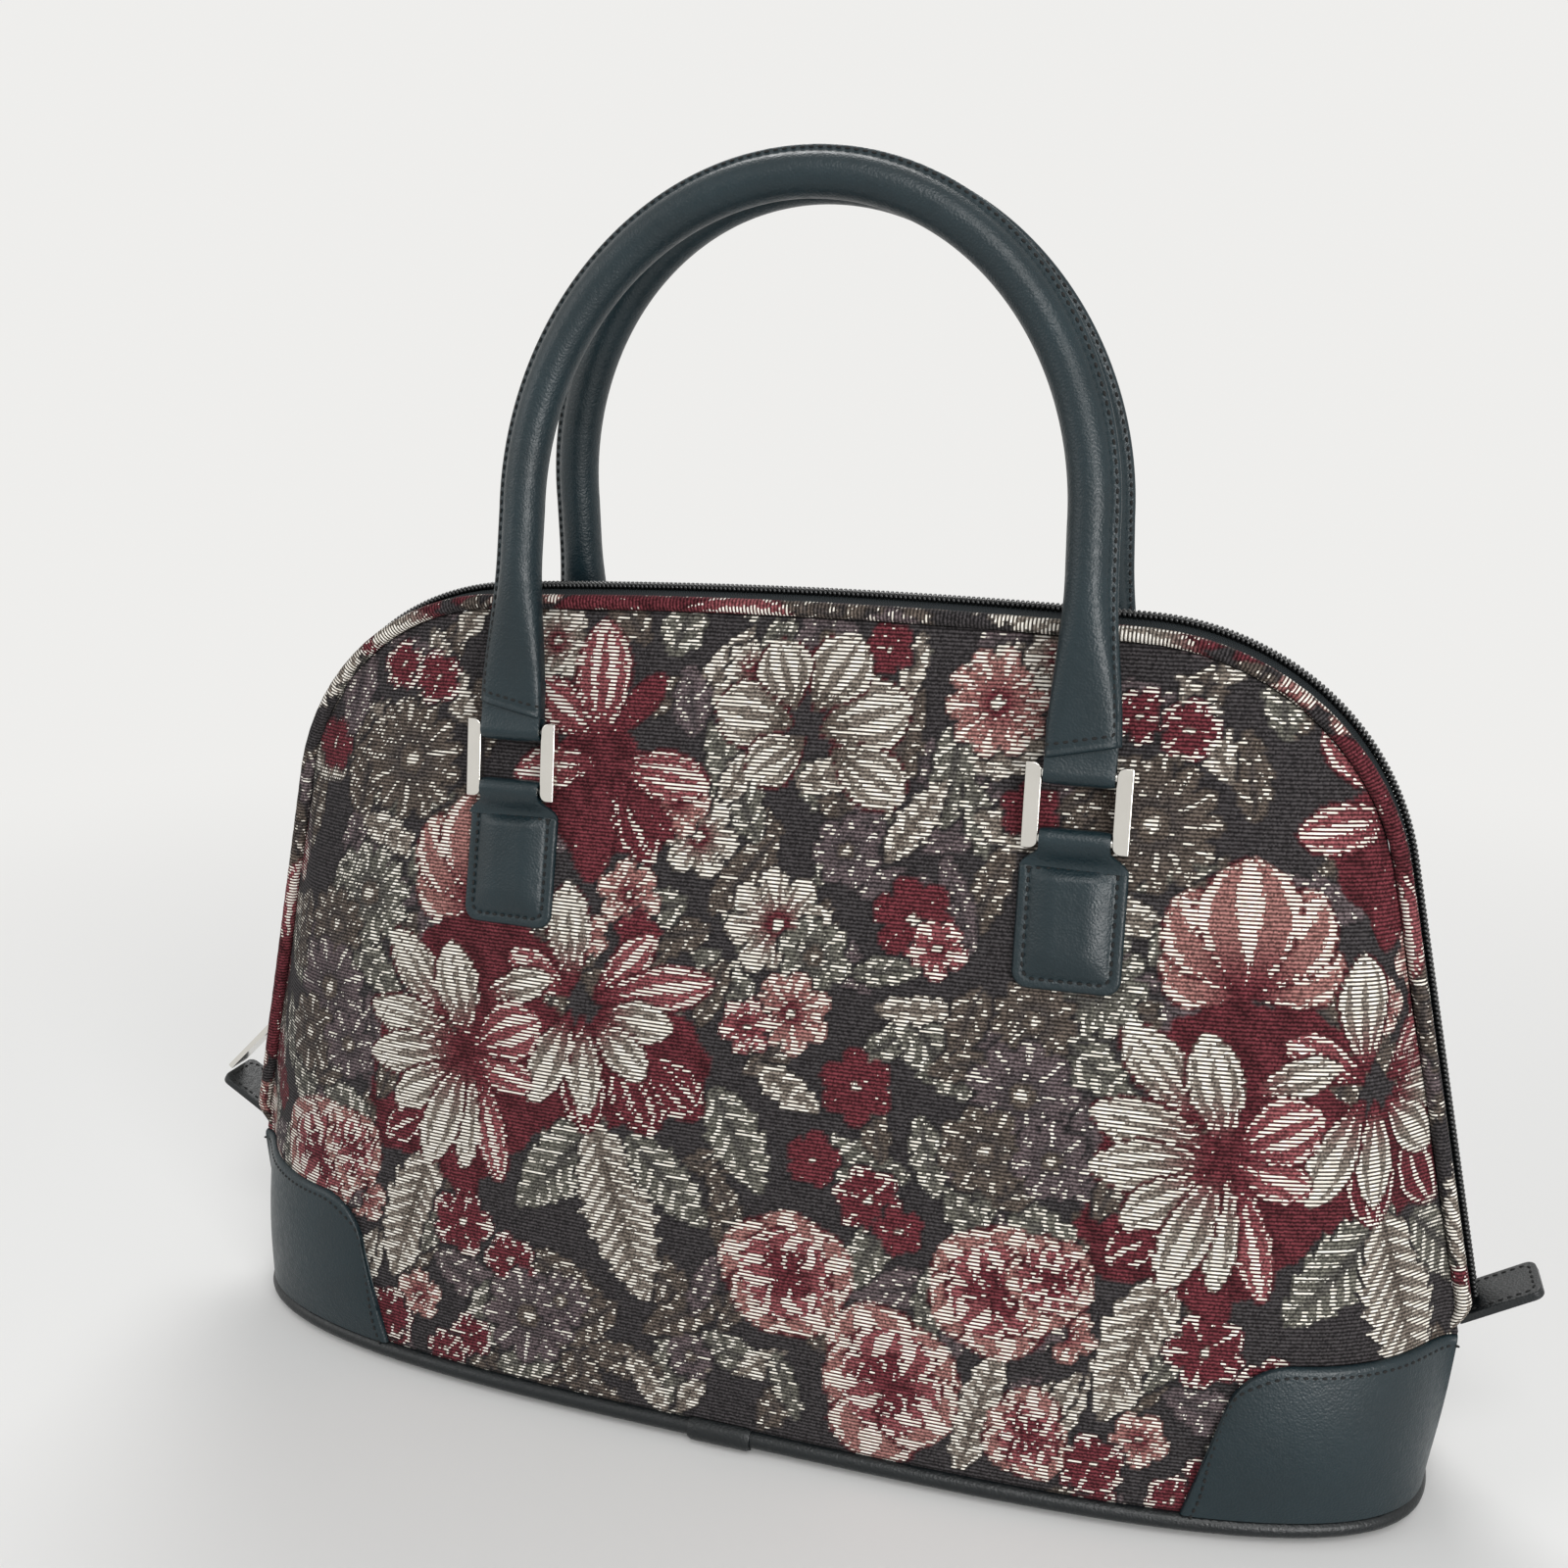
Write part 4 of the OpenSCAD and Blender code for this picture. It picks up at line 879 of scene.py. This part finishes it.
# Feet
# Domed metal studs under the corners of the base.
# Their shanks pass through the bottom and the board into washers.
stud_metal = plain_finish("stud_metal", "2a2b2c", "3d3e40", 700.0, (0.3, 0.45), metallic=0.8)
dress(stud_metal, "front_left_foot", "front_right_foot", "back_left_foot", "back_right_foot", "foot_washers")

# Rings
# Nickel rings, each of two flat cheeks and two round bars.
# They hinge in the tabs below and in the handle straps above.
ring_span, ring_height, bar_pitch, bar_r, bar_sides = 180, 206, 19, 1.5, 20
cheek_width, cheek_length, cheek_wall, cheek_round, cheek_edge = 4.8, 25, 3.2, 2.64, 0.35
strap_width, strap_wall, loop_gap, cheek_gap = 20.4, 1.6, 0.2, 0.4


def joint_place(name):
    """A joint's place at rest, in millimetres."""
    return np.array(next(j for j in frame["joints"] if j["name"] == name)["pos_m"]) / mm


bar_y = joint_place("front_left_ring_hinge")[1]
upper_y, upper_z = joint_place("front_handle_hinge")[1:]
handle_lean = math.atan2(upper_y - bar_y, upper_z - ring_height)
cheek_x = strap_width / 2 + cheek_gap + cheek_width / 2
ring_x = ring_span / 2


def tilted(points, lean):
    """Turns points drawn upright back by an angle, and sets them on the front lower bars."""
    x, y, z = np.moveaxis(np.asarray(points, float), -1, 0)
    c, s = math.cos(lean), math.sin(lean)
    return np.stack([x, bar_y + y * c + z * s, ring_height - y * s + z * c], -1)


def leaned(points, side):
    """Puts points drawn upright from the lower bars in their leaned place; side is 1 for the back."""
    return tilted(points, handle_lean) * np.array([1, -side, 1])


def joined(parts):
    """One list of points and faces from several."""
    points, faces, start = [], [], 0
    for part_points, part_faces in parts:
        points.append(np.reshape(part_points, (-1, 3)))
        faces += [[start + i for i in face] for face in part_faces]
        start += len(points[-1])
    return np.concatenate(points), faces


def arc(x, z, radius, start, end, count):
    """Points of an arc round a centre, between two angles in degrees."""
    turn = np.radians(np.linspace(start, end, count))
    return np.column_stack([x + radius * np.cos(turn), z + radius * np.sin(turn)])


def cheek(side):
    """A flat cheek, with the two corners of its inner edge rounded."""
    low, high = bar_pitch / 2 - cheek_length / 2, bar_pitch / 2 + cheek_length / 2
    round_x = cheek_round - cheek_width / 2
    top = arc(round_x, high - cheek_round, cheek_round, 90, 180, 9)
    bottom = arc(round_x, low + cheek_round, cheek_round, 180, 270, 9)
    x, z = np.concatenate([[(cheek_width / 2, low), (cheek_width / 2, high)], top, bottom]).T
    x = side * (cheek_x + x)
    plates = [np.column_stack([x, np.full_like(x, y), z]) for y in (-cheek_wall / 2, cheek_wall / 2)]
    return np.concatenate(plates), tube_faces(2, len(x))


def bar(z):
    """A round bar between the cheeks."""
    turn = turns(bar_sides)
    y, up = bar_r * np.cos(turn), z + bar_r * np.sin(turn)
    ends = [np.column_stack([np.full(bar_sides, x), y, up]) for x in (-cheek_x, cheek_x)]
    return np.concatenate(ends), tube_faces(2, bar_sides)


def bevel(piece, width, segments=3, angle=40):
    """Rounds a piece's edges."""
    modifier = piece.modifiers.new("edges", "BEVEL")
    modifier.width = width * mm
    modifier.segments = segments
    modifier.limit_method = "ANGLE"
    modifier.angle_limit = math.radians(angle)
    modifier.harden_normals = True


nickel = plain_finish("satin_nickel", "d2cfc8", "dfdcd6", 90.0, (0.12, 0.2), metallic=1.0)
ring_points, ring_faces = joined([cheek(-1), cheek(1), bar(0), bar(bar_pitch)])
for depth, side in (("front", -1), ("back", 1)):
    for end, hand in (("left", -1), ("right", 1)):
        name = f"{depth}_{end}_ring"
        points = leaned(ring_points + np.array([hand * ring_x, 0, 0]), side)
        ring = make_piece(f"nickel_{name}", points, ring_faces, nickel, sharp=35)
        bevel(ring, cheek_edge)
        fit(ring, name, "ring_metal", name)

# Ring tabs
# Each is one strip of leather, looped round the ring's lower bar and widened into a padded patch.
# The patch is stitched round its edge to the panel.
patch_width, patch_height, patch_wall, patch_drop, patch_corner = 31.5, 36, 4, 8.5, 5
tab_gap, rim_wall, pad_border, top_corner = 0.35, 1.5, 3.4, 1.2
pad_slope, crease_slope, groove_depth, groove_width = 8.5, 4, 0.3, 0.8
border_round, crease_open, rim_edge, pad_columns, pad_rows = 1.2, 0.6, 0.35, 64, 72
strap_columns, strap_edge, bend_points, tail_points, tail_pull = 22, 0.5, 40, 16, 0.4
tab_seat, tab_lap, tab_back, tab_spread, flare_run = 0.65, 0.3, 0.4, 58, 1.4
seam_top, seam_sink, crease_inset, crease_drop, crease_rise = 1.5, 0.05, 3, 0.6, 0.15
patch_mid_z = ring_height - patch_drop - patch_height / 2


def front_depth(x, z):
    """Depth of the front panel's face at a place seen from the front."""
    low, high = 0.0, 1.0
    for _ in range(40):
        u = (low + high) / 2
        top = panel_point(np.array([u]), np.ones(1))[0, 2]
        point = panel_point(np.array([u]), np.array([(z - panel_foot_z) / (top - panel_foot_z)]))[0]
        low, high = (u, high) if point[0] < x else (low, u)
    return point[1]


def slope(x, z, along_x, along_z, step=4.0):
    """Rise of the front panel's face in one direction."""
    ahead = front_depth(x + along_x * step, z + along_z * step)
    return (ahead - front_depth(x - along_x * step, z - along_z * step)) / (2 * step)


patch_origin = np.array([ring_x, front_depth(ring_x, patch_mid_z), patch_mid_z])
patch_across = unit(np.array([1, slope(ring_x, patch_mid_z, 1, 0), 0]))
patch_up = np.array([0, slope(ring_x, patch_mid_z, 0, 1), 1])
patch_up = unit(patch_up - patch_across * (patch_up @ patch_across))
patch_out = np.cross(patch_across, patch_up)
tab_lean = math.atan(slope(ring_x, ring_height, 0, 1))


def patch_place(a, b, out):
    """Points of the patch: across it, up it and out of the panel."""
    out = np.broadcast_to(out, a.shape)
    return patch_origin + a[..., None] * patch_across + b[..., None] * patch_up + out[..., None] * patch_out


def inside_patch(a, b):
    """How far points lie inside the patch's edge, which is open at the top."""
    from_side, from_foot = patch_width / 2 - np.abs(a), patch_height / 2 + b
    in_corner = (from_side < patch_corner) & (from_foot < patch_corner)
    dx, dz = (np.maximum(patch_corner - gap, 0) for gap in (from_side, from_foot))
    return np.where(in_corner, patch_corner - np.hypot(dx, dz), np.minimum(from_side, from_foot))


def patch_shell():
    """A closed padded form: a flat sewn border, a groove at the stitches and a full middle."""
    r, t = np.linspace(-1, 1, pad_rows + 1), np.linspace(-1, 1, pad_columns + 1)
    r_grid, t_grid = np.meshgrid(r, t, indexing="ij")
    b = r_grid * patch_height / 2
    half = patch_width / 2
    for corner, from_end in ((patch_corner, patch_height / 2 + b), (top_corner, patch_height / 2 - b)):
        share = np.clip(1 - from_end / corner, 0, 1)
        half = half - corner * (1 - np.sqrt(1 - share ** 2))
    a = t_grid * half
    inside, from_top = inside_patch(a, b), patch_height / 2 - b
    border = np.clip(np.minimum(inside, from_top + crease_open) / border_round, 0, 1)
    rim = rim_wall * (rim_edge + (1 - rim_edge) * np.sqrt(1 - (1 - border) ** 2))
    groove = groove_depth * np.exp(-((inside - pad_border) / groove_width) ** 2)
    fullness = patch_wall - rim_wall
    for from_edge, slope_length in (
        (patch_width / 2 - np.abs(a) - pad_border, pad_slope),
        (patch_height / 2 + b - pad_border, pad_slope),
        (from_top, crease_slope),
    ):
        fullness = fullness * np.sin(np.clip(from_edge / slope_length, 0, 1) * math.pi / 2)
    sheets = [patch_place(a, b, tab_gap + rim - groove + fullness), patch_place(a, b, tab_gap)]
    return np.concatenate(sheets).reshape(-1, 3), shell_faces(pad_rows + 1, pad_columns + 1)


def strap_sheet(route, width_at):
    """A leather strip along a route in depth and height, with its width given along it."""
    heading = unit(np.gradient(route, axis=0))
    across = np.linspace(-1, 1, strap_columns)
    crown = strap_wall / 2 * (1 - np.abs(across) ** 8 * strap_edge)
    rings = []
    for (y, z), (ahead_y, ahead_z), run in zip(route, heading, run_along(route)):
        x = across * width_at(run) / 2
        outer = np.column_stack([x, y - ahead_z * crown, z + ahead_y * crown])
        inner = np.column_stack([x, y + ahead_z * crown, z - ahead_y * crown])
        rings.append(np.concatenate([outer, inner[::-1]]))
    return np.concatenate(rings), tube_faces(len(rings), 2 * strap_columns)


def loop_route(front_end, back_end, spread_angle):
    """A strip's route round a bar at the origin: up from its front end, round and down to its back end."""
    radius = bar_r + loop_gap + strap_wall / 2
    bend = arc(0, 0, radius, 270 - spread_angle, spread_angle - 90, bend_points)
    t = np.linspace(0, 1, tail_points)[1:, None]

    def tail(start, before, end):
        pull = np.linalg.norm(end - start) * tail_pull
        first, second = start + unit(start - before) * pull, end + np.array([0, pull])
        near = (1 - t) ** 3 * start + 3 * (1 - t) ** 2 * t * first
        return near + 3 * (1 - t) * t ** 2 * second + t ** 3 * end

    front = tail(bend[0], bend[1], np.array(front_end))
    back = tail(bend[-1], bend[-2], np.array(back_end))
    return np.concatenate([front[::-1], bend, back])


def tab_width(run):
    """The strip flares out to the patch's width over its last stretch at the front."""
    flare = (patch_width - strap_width) / 2
    return strap_width + flare * (1 + math.cos(math.pi * min(run / (flare_run * flare), 1)))


def tab_loop():
    """The looped part of a tab, from the patch's top up over the lower bar and down behind it."""
    stand = front_depth(ring_x, ring_height) - bar_y - tab_gap
    front_end = (stand - tab_seat * strap_wall, -patch_drop - tab_lap)
    back_end = (stand - strap_wall, -tab_back * patch_drop)
    points, faces = strap_sheet(loop_route(front_end, back_end, tab_spread), tab_width)
    return tilted(points + np.array([ring_x, 0, 0]), tab_lean), faces


def patch_stitches():
    """Paths of a patch's stitches: down one side, round its foot and up the other, and along its crease."""
    half, corner = patch_width / 2 - stitch_inset, patch_corner - stitch_inset * 0.5
    foot, top = -patch_height / 2 + stitch_inset, patch_height / 2 - seam_top
    right = arc(half - corner, foot + corner, corner, 0, -90, 10)
    left = right[::-1] * np.array([-1, 1])
    a, b = np.concatenate([[(half, top)], right, left, [(-half, top)]]).T
    crease_a = np.linspace(-1, 1, 30) * (patch_width / 2 - crease_inset)
    crease_b = np.full_like(crease_a, patch_height / 2 - crease_drop)
    crease = patch_place(crease_a, crease_b, tab_gap + rim_wall + crease_rise)
    return patch_place(a, b, tab_gap + rim_wall - seam_sink), crease


corners = [(hand, depth) for hand in (-1, 1) for depth in (-1, 1)]
flips = [np.array([hand, -depth, 1]) for hand, depth in corners]
tab_names = [
    f"{'front' if depth < 0 else 'back'}_{'left' if hand < 0 else 'right'}_tab" for hand, depth in corners
]


def four_tabs(name, points, faces):
    """The same leather form at each of the four tabs."""
    return make_piece(name, *joined([(points * flip, faces) for flip in flips]), leather, sharp=60)


pads = four_tabs("tab_patches", *patch_shell())
fit(pads, "bag", "leather", *tab_names)
fit(four_tabs("tab_loops", *tab_loop()), "bag", "leather")
tab_paths = [(path * flip, patch_out * flip) for flip in flips for path in patch_stitches()]
sew("tab_stitches", tab_paths, "bag")

# Handles
# Rolled leather over a cord core, sewn shut along a lip on the outside of the arch.
# Both ends flatten over straps that loop round the rings' upper bars.
handle_d, handle_height, arch_height, arch_half_width = 13, 168, 98, 88
flat_length, flat_width, flat_wall, flat_power = 50, 22.6, 7, 0.45
lip_height, lip_wall, handle_end_gap, strap_seat = 2, 2.4, 6.5, 10
handle_reach = bar_pitch + handle_height
leg_end, spring = bar_pitch + handle_end_gap, handle_reach - arch_height
leg_steps, arch_steps, section_points = 46, 130, 52
end_slant = math.tan(math.radians(12))
# Heights of the first rows above a cut end, which is turned under into a thin roll below a slight groove
end_rows = np.array([0, 0.2, 0.5, 0.9, 1.4, 1.9, 2.4, 3, 3.8])
roll_rise, roll_place, roll_width = 0.3, 0.9, 0.5
dip_depth, dip_place, dip_width = 0.25, 2.2, 0.6
rim_turn, rim_height = 0.8, 0.5
seam_inset, lip_inset, seam_steps, lip_seam, seam_lean = 2, 2.4, 12, 2.1, 0.4
strap_end_gap, flat_skin, strap_spread = 0.5, 1.1, 72


def handle_places():
    """Places along a handle: x, height, angle of its outer side, and how round it is."""
    close = end_rows / (spring - leg_end)
    leg = np.concatenate([close, np.linspace(1.3 * close[-1], 1, leg_steps, endpoint=False)])
    rounded = eased(leg * (spring - leg_end) / flat_length)
    leg_x, leg_z = ring_x + (arch_half_width - ring_x) * leg, leg_end + leg * (spring - leg_end)
    right = np.column_stack([leg_x, leg_z, 0 * leg, rounded])
    left = np.column_stack([-leg_x, leg_z, np.full_like(leg, math.pi), rounded])[::-1]
    a = np.linspace(0, math.pi, arch_steps + 1)
    outer_angle = np.arctan2(np.sin(a) / arch_height, np.cos(a) / arch_half_width)
    arch_x, arch_z = arch_half_width * np.cos(a), spring + arch_height * np.sin(a)
    return np.concatenate([right, np.column_stack([arch_x, arch_z, outer_angle, np.ones_like(a)]), left])


def handle_section(rounded):
    """The handle's section: outwards of the arch and in depth, with the lip at its outer side."""
    t = np.linspace(-1, 1, section_points, endpoint=False)
    angle = math.pi * np.sign(t) * np.abs(t) ** 1.5
    flat_half = flat_width / 2 - lip_height / 2
    half_width = flat_half + (handle_d / 2 - flat_half) * rounded
    half_wall = flat_wall / 2 + (handle_d / 2 - flat_wall / 2) * rounded
    power = flat_power + (1 - flat_power) * rounded
    c, s = np.cos(angle), np.sin(angle)
    out = np.sign(c) * half_width * np.abs(c) ** power
    depth = np.sign(s) * half_wall * np.abs(s) ** power
    lip = np.clip(1 - (np.abs(depth) / (lip_wall * 0.75)) ** 3, 0, 1) * (c > 0)
    return out + lip * lip_height * (0.5 + 0.5 * rounded), depth


def handle_rings(places):
    """Rings of points along a handle, upright from the lower bar."""
    rings = []
    for x, height, angle, rounded in places:
        out, depth = handle_section(rounded)
        above = height - leg_end
        roll = roll_rise * math.exp(-((above - roll_place) / roll_width) ** 2)
        roll -= dip_depth * math.exp(-((above - dip_place) / dip_width) ** 2)
        roll -= rim_turn * max(0, 1 - above / rim_height) ** 2
        up = height + out * (math.sin(angle) + end_slant * (1 - rounded) ** 2)
        rings.append(np.column_stack([x + out * math.cos(angle), depth * (1 + roll / (flat_wall / 2)), up]))
    return np.array(rings)


def seam_path(places, depth_sign):
    """The stitches of one face of the handle: beside the lip, and across each flat end above its roll."""

    def on_face(place, away):
        x, height, angle, rounded = place
        out, depth = handle_section(rounded)
        upper = depth > 0
        order = np.argsort(out[upper])
        deep = np.interp(away, out[upper][order], depth[upper][order])
        up = height + away * (math.sin(angle) + end_slant * (1 - rounded) ** 2)
        return x + away * math.cos(angle), depth_sign * deep, up

    end_row = len(end_rows) - 1
    across = np.linspace(seam_inset - flat_width / 2, flat_width / 2 - lip_inset, seam_steps)
    route = [(places[end_row], away) for away in across]
    for place in places[end_row + 1:-1 - end_row]:
        route.append((place, handle_section(place[3])[0].max() - lip_seam + place[3]))
    route += [(places[-1 - end_row], away) for away in across[::-1]]
    line = [on_face(place, away) for place, away in route]
    outs = []
    for (x, height, angle, rounded), away in route:
        lean = seam_lean * rounded
        outs.append((lean * math.cos(angle), depth_sign, lean * math.sin(angle)))
    return np.array(line), np.array(outs)


places = handle_places()
rings = handle_rings(places)
handle_faces = tube_faces(len(rings), section_points)
strap_reach = handle_end_gap + strap_seat - strap_end_gap
strap_part = flat_wall / 2 - flat_skin - strap_wall / 2
strap_route = loop_route((-strap_part, -strap_reach), (strap_part, -strap_reach), strap_spread)
strap_points, strap_faces = strap_sheet(strap_route, lambda run: strap_width)
strap_points = strap_points * np.array([1, 1, -1]) + np.array([0, 0, bar_pitch])
for depth, side in (("front", -1), ("back", 1)):
    body = f"{depth}_handle"
    handle = make_piece(f"leather_{body}", leaned(rings, side), handle_faces, leather, sharp=60)
    fit(handle, body, "leather", body)
    parts = [
        (leaned(strap_points + np.array([hand * ring_x, 0, 0]), side), strap_faces) for hand in (-1, 1)
    ]
    straps = make_piece(f"leather_{depth}_straps", *joined(parts), leather, sharp=60)
    fit(straps, body, "leather", f"{depth}_left_strap", f"{depth}_right_strap")
    paths = []
    for face in (-1, 1):
        line, outs = seam_path(places, face)
        paths.append((leaned(line, side), unit(leaned(line + outs, side) - leaned(line, side))))
    sew(f"{body}_stitches", paths, body)

# Zip end tabs
# Flat leather tongues folded over the ends of the zip, pointing out and up.
# They are sewn through near their edges.
end_tab_length, end_tab_width, end_tab_wall, end_tab_edge = 26, 18, 2.6, 0.5
end_tab_corner, end_seam_inset, end_seam_corner = 3, 2, 2
end_tab_rise = math.radians(32)
end_tab_x = panel_point(np.ones(1), np.ones(1))[0, 0] + cap_gap
end_tab_z = cap_height + seam + end_tab_wall / 2 / math.cos(end_tab_rise)


def tongue(length, width, corner):
    """A tongue with its two outer corners rounded, in length and width."""
    upper = arc(length - corner, width / 2 - corner, corner, 90, 0, 8)
    lower = upper[::-1] * np.array([1, -1])
    return np.concatenate([[(0, width / 2)], upper, lower, [(0, -width / 2)]])


def tongue_place(outline, out, side):
    """An outline in place on an end tab, set out from its middle; side is 1 for the right one."""
    along, across = outline.T
    c, s = math.cos(end_tab_rise), math.sin(end_tab_rise)
    x, z = end_tab_x + along * c - out * s, end_tab_z + along * s + out * c
    return np.column_stack([side * x, across, z])


tab_edge = tongue(end_tab_length, end_tab_width, end_tab_corner)
stitch_line = tongue(end_tab_length - end_seam_inset, end_tab_width - 2 * end_seam_inset, end_seam_corner)
for name, side in (("left_zip_tab", -1), ("right_zip_tab", 1)):
    sheets = [tongue_place(tab_edge, face * end_tab_wall / 2, side) for face in (-1, 1)]
    tab = make_piece(f"leather_{name}", sheets, tube_faces(2, len(tab_edge)), trim_leather, sharp=40)
    bevel(tab, end_tab_edge)
    fit(tab, "bag", "leather", name)
    upward = np.array([-side * math.sin(end_tab_rise), 0, math.cos(end_tab_rise)])
    paths = [(tongue_place(stitch_line, face * end_tab_wall / 2, side), face * upward) for face in (-1, 1)]
    sew(f"{name}_stitches", paths, "bag")

# Slider and pull
# A black slider on the left flank of the zip, cast with a bridge on its back.
# A flat nickel pull hangs in the bridge.
black_enamel = plain_finish("black_enamel", "101112", "1e2022", 800.0, (0.25, 0.4), metallic=0.4)
dress(black_enamel, "zip_slider")
dress(nickel, "zip_pull")

# Floor, light and camera
# A pale studio floor that fades out to the white backdrop.
# Broad soft lights stand at the front, at both sides and behind.
floor_r, floor_sides, fade_from, fade_to = 6000, 64, 300, 1000
backdrop_white, floor_white, sky = (0.86, 0.855, 0.84, 1), (0.8, 0.795, 0.78, 1), (0.95, 0.97, 1.0, 1)


def seen_rays(tree):
    """1 for rays from the camera and from mirrors and glass, which see the backdrop."""
    rays = add(tree, "ShaderNodeLightPath").outputs
    seen = calc(tree, "MAXIMUM", rays["Is Camera Ray"], rays["Is Glossy Ray"])
    return calc(tree, "MAXIMUM", seen, rays["Is Transmission Ray"])


floor_mesh = bpy.data.meshes.new("floor")
rim = [(floor_r * mm * math.cos(a), floor_r * mm * math.sin(a), 0) for a in turns(floor_sides)]
floor_mesh.from_pydata(rim, [], [list(range(floor_sides))])
floor_material, tree, shader = new_material("pale_floor")
wire(tree, shader, {"Base Color": floor_white, "Roughness": 0.7})
place = add(tree, "ShaderNodeTexCoord").outputs["Object"]
distance = add(tree, "ShaderNodeVectorMath", {0: place}, operation="LENGTH").outputs["Value"]
fade = {0: distance, 1: fade_from * mm, 2: fade_to * mm}
far = add(tree, "ShaderNodeMapRange", fade, interpolation_type="SMOOTHSTEP").outputs[0]
glow = add(tree, "ShaderNodeEmission", {"Color": backdrop_white, "Strength": 1.0}).outputs[0]
share = calc(tree, "MULTIPLY", far, seen_rays(tree))
both = add(tree, "ShaderNodeMixShader", {0: share, 1: shader.outputs[0], 2: glow}).outputs[0]
wire(tree, next(n for n in tree.nodes if n.type == "OUTPUT_MATERIAL"), {"Surface": both})
floor_mesh.materials.append(floor_material)
new_object("floor", floor_mesh)

world = bpy.data.worlds.new("studio")
bpy.context.scene.world = world
world.use_nodes = True
tree = world.node_tree
tree.nodes.clear()
ambient = add(tree, "ShaderNodeBackground", {"Color": sky, "Strength": 0.3}).outputs[0]
white = add(tree, "ShaderNodeBackground", {"Color": backdrop_white, "Strength": 1.0}).outputs[0]
both = add(tree, "ShaderNodeMixShader", {0: seen_rays(tree), 1: ambient, 2: white}).outputs[0]
add(tree, "ShaderNodeOutputWorld", {"Surface": both})

for name, place, aim_height, size, power in (
    ("key", (400, -1250, 1500), 150, 900, 15), ("side", (1120, -1180, 420), 150, 600, 16),
    ("fill", (-1400, -900, 900), 150, 1000, 6), ("back", (-300, 1200, 1500), 200, 1000, 15),
):
    light = bpy.data.lights.new(name, "AREA")
    light.size = size * mm
    light.energy = power
    lamp = new_object(name, light)
    lamp.location = Vector(place) * mm
    lamp.rotation_euler = (Vector((0, 0, aim_height)) - Vector(place)).to_track_quat("-Z", "Y").to_euler()

camera_place = Vector((139.81, -461.90, 331.175)) * mm
camera_yaw, camera_pitch, camera_roll = (math.radians(a) for a in (17.782, 14.395, 0.353))
focal_pixels, image_pixels, sensor = 1569.866, 1600, 36
ahead = Vector((-math.sin(camera_yaw), math.cos(camera_yaw), 0)) * math.cos(camera_pitch)
forward = ahead - Vector((0, 0, math.sin(camera_pitch)))
level = Vector((math.cos(camera_yaw), math.sin(camera_yaw), 0))
rise = level.cross(forward)
right = math.cos(camera_roll) * level + math.sin(camera_roll) * rise
above = math.cos(camera_roll) * rise - math.sin(camera_roll) * level
camera_data = bpy.data.cameras.new("camera")
camera_data.sensor_width = sensor
camera_data.lens = focal_pixels / image_pixels * sensor
camera_data.clip_start, camera_data.clip_end = 0.02, 50
camera = new_object("camera", camera_data)
facing = Matrix((right, above, -forward)).transposed().to_4x4()
camera.matrix_world = Matrix.Translation(camera_place) @ facing
bpy.context.scene.camera = camera
bpy.context.scene.view_settings.view_transform = "Standard"
